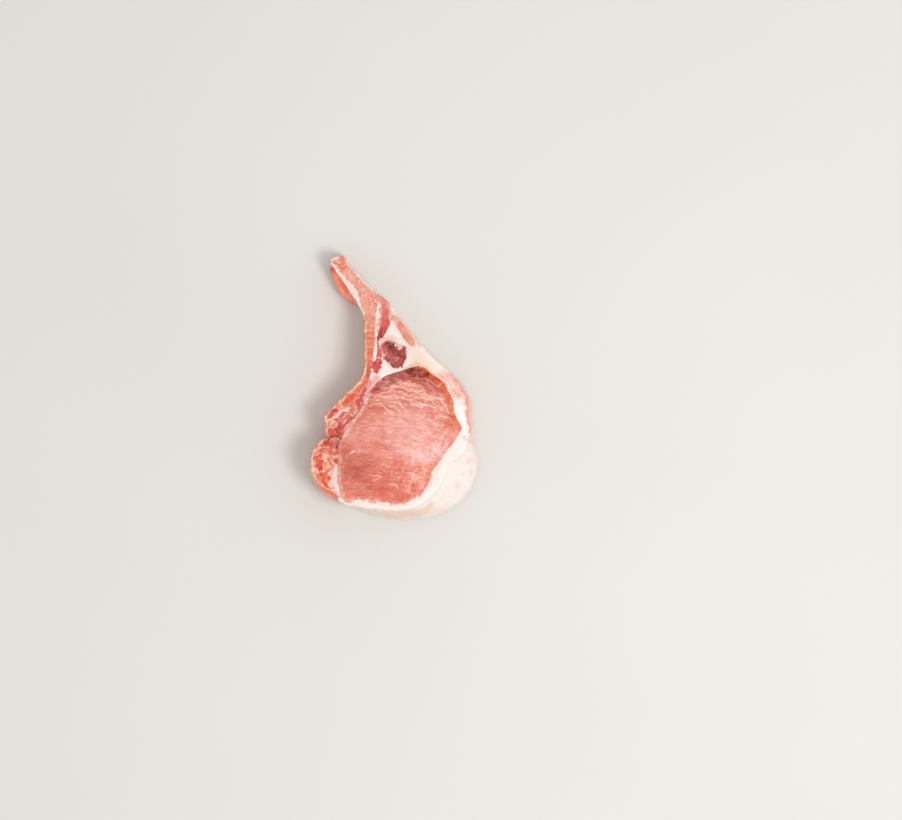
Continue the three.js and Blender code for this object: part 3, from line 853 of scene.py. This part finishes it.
# where the painted shade is mottled: the crown, its left end and the orange edge
in_crown_left = inside(eye.spots, *CROWN_LEFT, edge=4)
eye.keep("shade_mottle", np.max([in_crown, CROWN_LEFT_SHARE * in_crown_left, EDGE_SHADE_MOTTLE * in_edge], axis=0))
spikes = relief(eye.spots * RAG_STRETCH, RAG_WAVES) + relief(eye.spots, FINE_RAG_WAVES)
low = eased(*RAGGED_Y, y)
rag_reach = RAG_RIM_MM + RAG_REACH_MM * low * np.maximum(0, RAG_FILL + spikes)
eye.keep("rag_mm", eye.seam + NO_RAG_MM * (1 - low) - rag_reach)
eye.rise += eye.top * relief(eye.spots, EYE_RELIEF)
eye.rise -= eye.top * CROWN_DIP_MM * in_crown * eased(*CROWN_SLOPE_MM, eye.seam)
for place in BORDER_PULLS:
    pulled(eye, *place)
    pulled(cover, *place)
settle(eye, eye_lean)

# %% [markdown]
# ## The fat cover
# White fat wraps the eye, widens at the lower right into a sloping outer side, and runs up into the white
# cartilage of the chine. It is cream under the arch of the chine. On the band at the right, thin pink
# membranes lie side by side along the outer edge. Their pattern is read in a coordinate of its own: the
# distance from that edge, and the way along it. A faint crease marks where the cut face turns into the
# outer side: a shallow dip, with a tan line of painted shade along it. There is painted light on the fat
# too: an orange line of painted shade where it drops to the eye's crown, a beige band of painted shade
# along the bottom edge, a small painted highlight, and red above white on the outer pink band against
# the shade of the wall.

# %% Marks on the fat
FAT_GROUND = (253, 241, 233)
FAT_BANDS = [
    (4.0, 1.8, (246, 192, 178), 0.85, [(19.5, 6), (24, 1.6), (27, -2.5)]),
    # The outer pink band is membrane; its red above 255 is painted light against the shade of the outer
    # wall.
    ((0.8, 2.2, 2.4, 0.4), 0.8, (262, 198, 185), 0.9,
     [(26, 3.4), (30, -3.5), (31.5, -9), (32, -16), (32.8, -24)]),
    (0.5, 0.8, (240, 190, 158), 0.4, [(-17, -49.4), (-12, -50.3), (-8, -51)]),
    # An orange line of painted shade, where the fat drops to the eye's crown.
    ((0.4, 0.8, 0.8, 0.5), 0.8, (238, 178, 132), 0.7, [(4, 7.6), (9, 9.7), (14, 8.2), (17.5, 5.6)]),
    ((2.4, 1.8, 0.8), 0.9, (239, 136, 124), 0.9, [(-3.8, 34.4), (-4.9, 36), (-6.2, 37.8)]),
    ((0.6, 1.0, 1.0, 0.6), 0.8, (248, 204, 176), 0.85,
     [(1.4, 29.6), (4.9, 25.2), (8.5, 20.8), (10.8, 17.4)]),
    ((1.6, 1.2, 0.4), 0.6, (244, 166, 142), 0.8, [(7.2, 18.8), (8, 18), (8.7, 17.2)]),
    ((0.4, 0.9, 1.0, 0.5), 0.3, (230, 120, 110), 0.9, [(-5, 34.4), (-5.3, 31), (-5.8, 27), (-6.7, 23)]),
    ((1.6, 1.2, 0.6), 0.6, (249, 196, 178), 0.9, [(0, 29.4), (-0.7, 30.6), (-1.1, 31.8)]),
    ((1.5, 2.0, 1.8, 1.2), 1.0, (247, 168, 160), 0.9, [(-7.2, 4), (-9.6, 0), (-12.2, -4.6), (-15, -9.6)]),
    ((0.4, 1.0, 1.0, 0.6), 0.6, (228, 118, 116), 0.85,
     [(-9.4, 3.4), (-11, 0.2), (-13, -3.8), (-15.4, -8.6)]),
]
FAT_PATCHES = [
    ((10, 13), (7, 4), -40, (252, 226, 214), 0.8),
    ((14, 9.8), (5.5, 1.8), -30, (250, 218, 186), 0.7),
    ((-2.5, 36), (3, 2.5), -40, (247, 192, 174), 0.85),
    ((-0.6, 20.6), (2.8, 1.1), -20, (243, 176, 162), 0.5),
    ((-7.4, 26), (1.2, 2.4), 0, (244, 200, 182), 0.7),
    ((28, -6.5), (2.2, 4), 0, (255, 251, 248), 0.9),
    ((29, -14), (1.4, 5), 3, (255, 251, 248), 0.9),
    # A painted highlight: a small yellow-white glint.
    ((18.2, 4.9), (1.2, 0.9), -40, (255, 244, 196), 0.9),
    ((30.4, -21.6), (2.6, 1.0), -42, (241, 204, 204), 0.8),
    # A beige band of painted shade along the bottom edge, on the lower side.
    ((2, -53.3), (19, 2.6), 3, (250, 210, 190), 0.9),
    ((15, -49.5), (2.2, 1.6), 60, (243, 205, 197), 0.7),
    ((26.5, -41), (1.5, 1.5), 0, (246, 214, 206), 0.7),
    ((32, -29.5), (0.8, 1.6), -20, (240, 212, 205), 0.6),
    ((32, -36), (0.8, 1.6), 0, (244, 214, 206), 0.5),
    ((-24.6, -37), (2, 6), 0, (250, 214, 206), 0.85),
]
MEMBRANES = [
    (0.5, [(25.6, 4), (29.2, -1), (30.8, -5), (31.7, -10), (32.3, -15), (32.7, -20), (33.4, -25)]),
    (0.6, [(23.5, 5), (27, 1.5), (29.3, -2.5), (30.2, -6), (30.5, -10), (31, -15), (31.6, -20),
           (32.8, -24)]),
    (0.5, [(20.5, 7), (22, 5.4), (23, 5)]),
    (0.35, [(24, -3.4), (26, -4), (27.5, -3)]),
]
# Crease lines, painted tan: on the first two, along the fold from cut face to outer side, the tan is
# painted shade; the short ones are tan marks on the outer side.
CREASES = [
    (0.6, [(21.5, -31), (18.5, -36), (16, -40), (13.5, -43)]),
    (0.4, [(23, -31.5), (20, -36.5), (17.4, -40.5), (15, -43.5)]),
    (0.5, [(31.2, -29), (30.5, -30.5), (30, -31.8)]),
    (0.5, [(29.7, -35), (29.1, -36), (28.8, -37.2)]),
    (0.5, [(31.8, -34), (31.4, -35.5), (31.5, -37)]),
]
OUTER_EDGE = [(17, 11.5), (22, 8), (26.5, 4), (30, -1), (31.8, -6), (32.8, -12), (33.2, -18), (34, -25)]
print("fat:", len(FAT_PATCHES), "patches,", len(FAT_BANDS), "bands,", len(MEMBRANES), "membranes")

# %% Fat cover
STREAK_WIDTH_MM, STREAK_LENGTH_MM = 0.8, 6.0
BAND_WAY, BAND_AREA = (0.42, -0.91), ((24.4, 1.2), (6.8, 3.4), -52)
BAND_STREAKS, EDGE_STREAKS = 0.95, 0.4
EDGE_BAND_MM, EDGE_LOW_Y, EDGE_HIGH_Y, EDGE_RAG = (1.4, 2.6), (-28, -18), (9, 1), [(5, 5.0, 93)]
FAT_STRAY_MM = 0.6
BLUSH, BLUSH_SHARE, BLUSH_MM = (249, 205, 192), 0.5, (0.2, 1.3)
LINES_END_MM, TONES_END_MM = (17, 9), (15, 3)
WALL_FADE, WALL_GAP_MM = 0.9, 2
FAT_RELIEF, CREASE_DIP_MM, CREASE_REACH_MM = [(0.25, 7.0, 21), (0.1, 2.2, 22)], 0.12, 0.9
RIDGE, RIDGE_MM = ((-7.7, 21), (17, 2), 85), 0.3

cover_places = leaned(cover, FAT_STRAY_MM)
cover_tone = tinted(cover_places, FAT_GROUND, FAT_PATCHES, FAT_BANDS)
toned(cover_tone, BLUSH_SHARE * (1 - eased(*BLUSH_MM, cover.seam)), BLUSH)
toned(cover_tone, WALL_FADE * deep_wall(cover, *TONES_END_MM), FAT_GROUND)
cover.keep("tone", cover_tone)
line_end = deep_wall(cover, *LINES_END_MM)
cover.keep("membrane_mm", lines_gap(cover_places, MEMBRANES) + WALL_GAP_MM * line_end)
creased = lines_gap(cover_places, CREASES)
cover.keep("crease_mm", creased)
from_edge = line_gap(cover_places, (0, 0), OUTER_EDGE)
along_edge = cover_places[:, :2] @ BAND_WAY
streak_place = (from_edge / STREAK_WIDTH_MM, along_edge / STREAK_LENGTH_MM, 0 * from_edge)
cover.keep("band", np.column_stack(streak_place))
ragged_y = cover_places[:, 1] + relief(cover.spots, EDGE_RAG)
beside_band = eased(*EDGE_LOW_Y, ragged_y) * eased(*EDGE_HIGH_Y, ragged_y)
at_edge = (1 - eased(*EDGE_BAND_MM, from_edge)) * beside_band
streaky = np.maximum(BAND_STREAKS * inside(cover.spots, *BAND_AREA, edge=4), EDGE_STREAKS * at_edge)
cover.keep("band_share", streaky * (1 - WALL_FADE * line_end))
cover.rise += relief(cover.spots, FAT_RELIEF)
cover.rise -= CREASE_DIP_MM * (1 - eased(0, CREASE_REACH_MM, np.abs(creased)))
cover.rise += RIDGE_MM * cover.top * inside(cover.spots, *RIDGE, edge=4)
settle(cover, fat, open_drift=0.3)

# %% [markdown]
# ## The sawn rib
# The rib is a flat bone, cut lengthwise: a red spongy middle between two hard white edges, the inner one
# broad and the outer one thin. The white edges are lines like the threads of fat, only wider. Smoothing
# rounds the tip, so its inner corner is pulled out again.

# %% Sawn rib
RIB_GROUND = (244, 170, 148)
RIB_PATCHES = [
    ((-22.5, 52), (3.5, 3.5), 0, (234, 126, 99), 0.85),
    ((-17.5, 47.5), (3, 2.5), 0, (248, 190, 178), 0.7),
    ((-7, 37), (2, 3), 0, (240, 140, 124), 0.6),
    ((-10.2, 28.4), (3.5, 2.5), 0, (244, 158, 128), 0.8),
]
RIB_EDGES = [
    ((0.5, 1.2, 2.2, 2.7, 2.4, 1.6, 1.1, 0.8),
     [(-25.8, 52.4), (-23.6, 48.8), (-21.3, 45.9), (-18.8, 43), (-16.7, 39.8), (-14.9, 36),
      (-13.4, 32.4), (-12.5, 29)]),
    (0.9, [(-20.8, 54.9), (-18.4, 51.4), (-15.6, 48), (-12.4, 44.6), (-9.4, 41.4), (-6.6, 38.8)]),
    (0.9, [(-25.9, 51.2), (-25.7, 52.7), (-24.8, 53.6), (-22.8, 54.1)]),
]
RIB_STRAY_MM, RIB_WALL_MM, STEEP_TILT = 0.6, 0.25, (0, 0.35)
RIB_SKIN_STRETCH, RIB_SKIN_WAVES = (1, 1, 0.4), [(0.5, 2.6, 34)]
SAW_RELIEF, RIB_RELIEF = [(0.2, 1.0, 31)], [(0.15, 4.0, 32)]

rib_places = leaned(rib, RIB_STRAY_MM)
rib.keep("tone", tinted(rib_places, RIB_GROUND, RIB_PATCHES))
rib_gap = np.minimum(lines_gap(rib_places, RIB_EDGES), rib.wall + RIB_WALL_MM)
rib_skin = relief(rib.spots * RIB_SKIN_STRETCH, RIB_SKIN_WAVES) - RIB_WALL_MM
rib.keep("thread_mm", rib_gap + (1 - eased(*STEEP_TILT, rib.facing[:, 2])) * (rib_skin - rib_gap))
rib.rise += rib.top * relief(rib.spots, SAW_RELIEF) + relief(rib.spots, RIB_RELIEF)
pulled(rib, (-26.3, 53.6), (2.2, 2.2), 0, (-1.1, 0.8))
pulled(rib, (-21, 54.6), (2, 2), 0, (0.3, 0.6))
settle(rib, bone)

# %% [markdown]
# ## The side meats
# Along the inner side lie strips of coarser, orange-red meat: a strip by the rib, the flap, the tail, and
# a thin one on the back edge. They share one finish. Each is a cluster of lobes with given tones.
# Fat runs between some of the lobes, and each lobe bulges, so the distance that draws a thread also lifts
# the meat beside it. The upper end of the flap is a row of small bricks. A pale membrane covers the outer
# walls in upright strands, and the foot of the tail is bare. The cream rim and the strip by the rib are
# painted with red above white, as painted light against their shade, and a dark notch between flap and
# tail and a dark line where the tail meets the eye are painted shadows.

# %% Marks on the flap
BRICK_MM = 2.4
BRICK_PAINTS = [(231, 100, 86), (234, 112, 92), (238, 126, 102), (244, 150, 124), (236, 122, 98),
                (243, 148, 118), (240, 132, 104), (240, 132, 106), (247, 164, 136), (247, 162, 136)]
# A painted shadow: dark brown in the notch between flap and tail, over a real gap.
NOTCH_SHADOW = ((0.4, 0.9, 0.4), 0.6, (132, 54, 40), 0.8, [(-27.8, -20.7), (-25, -21), (-22, -20.6)])
FLAP_LOBES = [
    ((-13.2, 3.4), (1.6, 1.3), 50, (236, 124, 96)),
    ((-15.2, 0), (2.6, 1.6), 50, (237, 114, 88)),
    ((-19.2, -4.8), (3.4, 1.7), 48, (235, 102, 76)),
    ((-12.6, -4), (5.5, 1.1), 61, (218, 90, 88)),
    ((-22.4, -8), (1.8, 1.5), 40, (239, 130, 94)),
    ((-25.4, -11.4), (2.3, 1.3), 38, (214, 68, 66)),
    ((-20.2, -10), (1.4, 1.0), 40, (244, 170, 156)),
    ((-17.3, -9.6), (1.5, 1.1), 50, (222, 136, 110)),
    ((-21.4, -13.2), (3.0, 1.3), 42, (230, 104, 98)),
    ((-27.4, -15.2), (1.4, 1.4), 0, (237, 138, 98)),
    ((-24.9, -15.3), (1.3, 1.0), 20, (238, 146, 136)),
    ((-22.5, -17), (1.9, 1.3), 42, (212, 90, 84)),
    ((-26, -19.2), (1.7, 1.2), 20, (232, 98, 84)),
    ((-23.2, -19.6), (1.4, 1.0), 0, (210, 98, 84)),
    ((-18.8, -14.8), (3.6, 0.9), 56, (220, 98, 94)),
] + [
    ((-10.7, 5.4 + BRICK_MM * brick), (2.3, 1.25), 8, colour)
    for brick, colour in enumerate(BRICK_PAINTS)
]
FLAP_THREADS = [
    (0.2, [(-18.8, -11.4), (-21.4, -12.9), (-24.4, -14.4)]),
    (0.15, [(-18.2, -12.8), (-20.6, -14.2), (-22.6, -15.4)]),
    (1.0, [(-18.1, -8.6), (-19.2, -9.7), (-22, -11), (-25.1, -12.8), (-28.2, -13.8)]),
    (0.35, [(-11.4, 2), (-13.4, -1.8), (-15.4, -5.2), (-16.6, -8.4)]),
    (0.5, [(-14, -2), (-16, -2.2), (-18.2, -3.2)]),
    (0.5, [(-20.9, -7.6), (-20.6, -9), (-20, -10.2)]),
    (0.5, [(-22.9, -9.6), (-22.2, -10.4), (-21.6, -10.8)]),
    (0.6, [(-26.2, -13.8), (-27, -16.4), (-25.4, -16.2), (-24.2, -14.8)]),
    (0.4, [(-17.6, -14.2), (-19.4, -17), (-21.2, -19.4)]),
    (0.5, [(-12.6, 2.8), (-13.4, 2.4), (-14.4, 2.2)]),
    (0.6, [(-16.5, -6.8), (-15.8, -7.6), (-15.8, -8.8), (-15, -9.8)]),
]
FLAP_BANDS = [
    NOTCH_SHADOW,
    (0.3, 0.5, (204, 84, 82), 0.7, [(-18.6, -12), (-20.8, -13.2), (-23.2, -14.6)]),
    (0.3, 0.5, (212, 92, 90), 0.7, [(-20, -11.4), (-22.4, -12.7), (-24.4, -13.6)]),
]
print("flap:", len(FLAP_LOBES), "lobes,", len(FLAP_THREADS), "threads")

# %% Marks on the tail
TAIL_LOBES = [
    ((-27.8, -22.4), (2.4, 0.9), 10, (208, 78, 60)),
    ((-31, -24.4), (1.9, 1.1), 40, (228, 106, 77)),
    ((-24.5, -24.4), (1.6, 1.3), 0, (233, 118, 108)),
    ((-29, -26.2), (1.9, 1.1), 10, (237, 124, 91)),
    ((-25.6, -27), (1.6, 1.2), -10, (229, 104, 90)),
    ((-32.7, -27), (1.1, 1.3), 0, (246, 160, 128)),
    ((-31.5, -29), (1.7, 1.0), 10, (231, 104, 77)),
    ((-26.5, -30.6), (1.3, 1.7), 0, (241, 138, 97)),
    ((-24, -30.6), (0.9, 1.1), 0, (200, 76, 62)),
    ((-30.9, -32), (2.1, 2.0), 0, (222, 70, 53)),
    ((-34, -32), (0.8, 2.6), 0, (248, 172, 142)),
    ((-28, -33), (0.9, 2.0), 0, (242, 158, 127)),
    ((-29, -36), (1.7, 1.5), 0, (234, 100, 76)),
    ((-27.4, -39), (2.1, 1.9), -30, (239, 96, 65)),
    ((-33.4, -36), (1.0, 1.9), 20, (246, 156, 122)),
    ((-31.4, -38.4), (1.5, 1.1), -45, (238, 130, 96)),
    ((-33, -41), (3.4, 1.1), -52, (246, 142, 102)),
    ((-28, -45), (4.4, 1.3), -32, (247, 140, 102)),
    ((-24, -47), (2.4, 1.0), -28, (243, 146, 110)),
    ((-26.6, -42.5), (3.2, 0.9), -20, (251, 200, 180)),
]
TAIL_THREADS = [
    (0.9, [(-34.6, -37.2), (-32.4, -39), (-30.8, -41.2), (-28.8, -42.2), (-26, -42.2), (-22.6, -43.6)]),
    (0.8, [(-32.8, -33), (-32, -34.8), (-31.2, -36)]),
    (0.9, [(-28.9, -29.4), (-26, -28.7), (-23.5, -29.3)]),
    (0.6, [(-32.6, -25.4), (-30, -25.3), (-27.6, -24.4), (-26.6, -24.8)]),
]
TAIL_FOOT = ((1.0, 3.0, 3.4, 1.8), (252, 138, 102),
             [(-33.7, -39.4), (-30.1, -43.2), (-26.1, -45.4), (-22.5, -47.3)])
TAIL_BANDS = [
    NOTCH_SHADOW,
    ((0.5, 1.0, 0.6), 0.6, (246, 180, 168), 0.8, [(-25, -21.9), (-23.6, -22.4), (-23, -23.2)]),
    # A painted shadow: a dark red line where the tail meets the eye.
    (0.4, 0.5, (150, 46, 42), 0.85, [(-22.9, -23.5), (-23.1, -26), (-23.2, -28.6)]),
    ((0.8, 3.0, 2.8, 1.8), 0.6, (252, 222, 212), 0.9,
     [(-24.2, -31.6), (-25.2, -35.2), (-25.2, -38.6), (-24, -42.6), (-22.6, -44.6)]),
]
print("tail:", len(TAIL_LOBES), "lobes,", len(TAIL_THREADS), "threads")

# %% Lobes of the thin strips
# The strip's lobes are orange meat; red above 255 lifts all but the dark tip as painted light against the
# shade of the rib wall.
RIB_MEAT_LOBES = [
    ((-26, 50), (2.6, 1.0), -60, (232, 92, 72)),
    ((-24.4, 46), (3.0, 1.2), -58, (270, 150, 116)),
    ((-21.4, 43), (2.6, 0.7), -58, (256, 130, 106)),
    ((-21.8, 41), (3.0, 1.2), -55, (272, 158, 126)),
    ((-18.5, 37.6), (3.0, 1.6), -45, (270, 152, 128)),
    ((-15.6, 35), (2.0, 1.5), -45, (264, 160, 150)),
]
BACK_LOBES = [
    ((0.4, 29), (2.2, 1.4), -58, (252, 194, 174)),
    ((3.2, 24.8), (3.8, 1.2), -55, (244, 160, 139)),
    ((5.0, 24.6), (3.6, 0.5), -55, (248, 192, 168)),
    ((6.4, 20.4), (3.2, 1.2), -55, (244, 166, 142)),
    ((8.2, 20), (3.0, 0.5), -55, (248, 190, 164)),
    ((8.4, 17.2), (1.6, 1.5), -55, (249, 186, 164)),
]
print("rib meat:", len(RIB_MEAT_LOBES), "lobes, back strip:", len(BACK_LOBES), "lobes")

# %% Side meats
LOBE_LIFT_MM, LOBE_SLOPE_MM, LOBE_SINK = 0.75, (-0.2, 1.3), 0.6
STREAK_SIZES, STREAK_STRAY_MM, LOBE_STRAY_MM = (2.6, 0.8, 2.6), 0.5, 1.2
# WALL_PAINT, the cream rim and membrane strands, has red above 255: painted light against the shade on
# the rim.
WALL_PAINT, WALL_REACH_MM, WALL_SHARE = (258, 226, 194), 0.9, 0.9
MEMBRANE_PAINT, MEMBRANE_SHARE = (238, 146, 124), 0.8
STRAND_STRETCH, STRAND_MM, STRAND_SHARE, STRAND_FILL = (1, 1, 0.2), 1.4, 0.7, 0.8
RIB_MEAT_RISE_MM, RIB_MEAT_SLOPE_MM = 2.2, (0.4, 3.0)
FOOT_STRAY_MM, FOOT_FADE_MM, FOOT_HEIGHTS_MM = 0.6, 0.8, (7, 18)


def keep_grain(tissue, turn):
    """Keeps a place for streaks that run at this angle on the cut face."""
    x, y, z = strayed(tissue.spots, STREAK_STRAY_MM).T
    tissue.keep("grain", np.column_stack((*turned(x, y, turn), z)) / STREAK_SIZES)


def dress_side_meat(tissue, lobes, threads, thread_half, grain_turn, seed, bands=(),
                    wall_share=WALL_SHARE, foot=()):
    """Gives a side meat its lobes, threads and streaked outer wall, and settles it. A foot is a bare
    line with a paint of its own that fades down the wall."""
    keep_grain(tissue, grain_turn)
    places = leaned(tissue, LOBE_STRAY_MM)
    tone, border = lobed(places, lobes)
    gap = border - thread_half - relief(tissue.spots, [(0.9, 2.6, seed), (0.25, 1.0, seed + 1)])
    gap = np.min([gap, *(line_gap(places, width, points) for width, points in threads)], axis=0)

    at_wall = 1 - eased(0, WALL_REACH_MM, tissue.wall)
    strands = ripple(tissue.spots * STRAND_STRETCH, STRAND_MM, seed + 1)
    steep = at_wall * (1 - eased(*STEEP_TILT, tissue.facing[:, 2]))
    toned(tone, wall_share * at_wall * (STRAND_FILL + strands), WALL_PAINT)
    toned(tone, MEMBRANE_SHARE * steep, MEMBRANE_PAINT)
    toned(tone, STRAND_SHARE * wall_share * steep * eased(0.0, 0.5, strands), WALL_PAINT)

    marked, deep = tone.copy(), deep_wall(tissue)
    banded(marked, places, bands)
    tone += (1 - WALL_FADE * deep)[:, None] * (marked - tone)
    gap += WALL_GAP_MM * deep
    for width, colour, points in foot:
        foot_gap = line_gap(strayed(tissue.spots, FOOT_STRAY_MM), width, points)
        gap = np.maximum(gap, 1 - foot_gap)
        bare = 1 - eased(0, FOOT_FADE_MM, foot_gap)
        toned(tone, bare * eased(*FOOT_HEIGHTS_MM, tissue.spots[:, 2]), colour)
    tissue.keep("tone", tone)
    tissue.keep("thread_mm", gap)
    tissue.rise += tissue.top * LOBE_LIFT_MM * (eased(*LOBE_SLOPE_MM, border) - LOBE_SINK)
    tissue.rise += relief(tissue.spots, [(0.25, 3.0, seed + 2), (0.1, 1.2, seed + 3)])
    settle(tissue, side_lean)


pulled(flap, (-20.8, -6.2), (6, 2.6), 48, (-1.3, 1.1))
pulled(flap, (-28.4, -12.2), (2, 2), 0, (-0.7, 0.2))
pulled(flap, (-27, -19.4), (2.4, 2.4), 0, (-1.0, -0.7))
pulled(tail, (-28.5, -22.4), (3, 1.6), 0, (-0.3, 0.5))
pulled(rib_meat, (-15.4, 34), (3, 3), 0, (-0.9, 1.1))
rib_meat.rise += RIB_MEAT_RISE_MM * rib_meat.top * (1 - eased(*RIB_MEAT_SLOPE_MM, rib_meat.seam))
dress_side_meat(flap, FLAP_LOBES, FLAP_THREADS, thread_half=-0.15, grain_turn=48, seed=41,
                bands=FLAP_BANDS)
dress_side_meat(tail, TAIL_LOBES, TAIL_THREADS, thread_half=-0.05, grain_turn=75, seed=45,
                bands=TAIL_BANDS, foot=[TAIL_FOOT])
dress_side_meat(rib_meat, RIB_MEAT_LOBES, [], thread_half=-0.8, grain_turn=-56, seed=49, wall_share=0.1)
pulled(back, (8.4, 17.8), (2.6, 2.6), 0, (0.8, -0.6))
dress_side_meat(back, BACK_LOBES, [], thread_half=-0.8, grain_turn=-54, seed=53)

# %% [markdown]
# ## The dark seam and the marrow
# Between rib and chine runs a narrow muscle of deep red, broken once by a pale thread. Beside it lies the
# sawn chine bone with its marrow: nearly brown at the top, where white teeth of bone reach into it, and
# purple red below. The teeth are a noise that is stretched along their direction and only counts near the
# top. The marrow's face is rough and lies a little lower than the fat around it.

# %% Marks on seam and marrow
SEAM_GROUND = (214, 90, 88)
SEAM_PATCHES = [
    ((-3.6, 31), (2.8, 4.6), 0, (240, 134, 122), 0.95),
    ((-3.0, 35.4), (1.6, 1.6), 0, (244, 160, 142), 0.8),
    ((-3.4, 27), (2.6, 3.8), 0, (229, 100, 92), 0.75),
    ((-1.7, 34), (1.3, 2.2), 25, (256, 232, 218), 1.0),
    ((-1.1, 29.8), (0.9, 3.4), 12, (255, 222, 210), 0.95),
    ((-5.4, 21.5), (3, 3.4), 0, (186, 60, 64), 0.9),
    ((-6, 16.5), (2, 3), 0, (226, 112, 114), 0.85),
    ((-7, 9.5), (3, 2.2), 0, (218, 78, 80), 0.85),
    ((-7.6, 6.4), (2, 1.8), 0, (231, 76, 64), 0.8),
]
SEAM_THREADS = [
    (0.5, [(-8.2, 12.2), (-6.3, 12.7), (-4.8, 12.5)]),
    (0.9, [(-4.7, 11.8), (-4.6, 13.6), (-4.8, 15.8)]),
]
MARROW_GROUND = (188, 74, 68)
MARROW_PATCHES = [
    ((0, 17), (3.8, 1.8), -20, (128, 46, 38), 0.9),
    ((-4, 16.6), (1.2, 2), 0, (214, 104, 100), 0.85),
    ((-3.6, 14), (1.5, 3), 0, (216, 116, 114), 0.85),
    ((-1.4, 11.2), (1.8, 1.4), 0, (206, 112, 108), 0.7),
    ((0.6, 9), (2.2, 1.0), 0, (168, 74, 60), 0.8),
    ((4, 15.6), (1.4, 1.2), 0, (206, 88, 78), 0.8),
    ((2.4, 16.9), (2.4, 1.0), -12, (150, 62, 50), 0.8),
    ((1.4, 11.7), (1.5, 1.2), 0, (220, 132, 126), 0.9),
    ((1.6, 13.5), (2.6, 0.6), -6, (136, 44, 44), 0.85),
    ((2, 10.1), (1.3, 0.5), 8, (150, 54, 48), 0.7),
]
MARROW_THREADS = [
    (0.8, [(-4.5, 11.6), (-4.4, 13.4), (-4.6, 15.4)]),
    (1.3, [(-4.9, 17.2), (-3.8, 18), (-2.9, 18.8)]),
]
print("seam:", len(SEAM_PATCHES), "patches, marrow:", len(MARROW_PATCHES), "patches")

# %% Seam meat and marrow
SEAM_STRAY_MM, SEAM_RELIEF, SEAM_DIP_MM = 0.7, [(0.3, 2.2, 61), (0.1, 0.9, 66)], 0.1
TOOTH_WIDTH, TOOTH_LENGTH, TOOTH_TURN, TOOTH_REACH_MM, TOOTH_SEED = 0.75, 3.2, 68, 3.4, 62
TOOTHED_Y, TOOTHED_SLOPE = (14, 17), 0.3
CORNER, CORNER_MM = ((-4, 19), (3, 2.4), 0), 0.5
MARROW_STRAY_MM, MARROW_LINE_STRAY_MM = 1.0, 0.5
MARROW_RIM_MM, MARROW_RAG = 0.55, [(0.9, 1.5, 63)]
MARROW_LIP_MM, MARROW_SINK_MM, MARROW_SLOPE_MM = 0.2, 0.4, (0.3, 1.2)
MARROW_RELIEF = [(0.35, 1.6, 64), (0.2, 0.8, 65)]

seam_places = strayed(seam.spots, SEAM_STRAY_MM)
keep_grain(seam, 80)
seam.keep("tone", tinted(seam_places, SEAM_GROUND, SEAM_PATCHES))
seam.keep("thread_mm", lines_gap(seam_places, SEAM_THREADS))
seam.rise += seam.top * (relief(seam.spots, SEAM_RELIEF) - SEAM_DIP_MM)
settle(seam, seam_lean)

x, y, z = marrow.spots.T
tooth_along, tooth_across = turned(x, y, TOOTH_TURN)
tooth_place = (tooth_along / TOOTH_LENGTH, tooth_across / TOOTH_WIDTH, z / TOOTH_LENGTH)
teeth = ripple(np.column_stack(tooth_place), 1.0, TOOTH_SEED)
tooth_reach = TOOTH_REACH_MM * np.maximum(teeth, 0) * eased(*TOOTHED_Y, y + TOOTHED_SLOPE * x)
keep_grain(marrow, 62)
pulled(marrow, (-4.5, 18.5), (3, 3), 0, (-1.1, 1.5))
marrow.keep("tone", tinted(strayed(marrow.spots, MARROW_STRAY_MM), MARROW_GROUND, MARROW_PATCHES))
marrow_rim = marrow.seam - MARROW_RIM_MM - relief(marrow.spots, MARROW_RAG) - tooth_reach
marrow_gap = lines_gap(strayed(marrow.spots, MARROW_LINE_STRAY_MM), MARROW_THREADS)
marrow.keep("thread_mm", np.minimum(marrow_rim, marrow_gap))
marrow.rise += CORNER_MM * marrow.top * inside(marrow.spots, *CORNER, edge=2)
marrow.rise += marrow.top * relief(marrow.spots, MARROW_RELIEF)
marrow.rise += marrow.top * (MARROW_LIP_MM - MARROW_SINK_MM * eased(*MARROW_SLOPE_MM, marrow.seam))
settle(marrow, core)
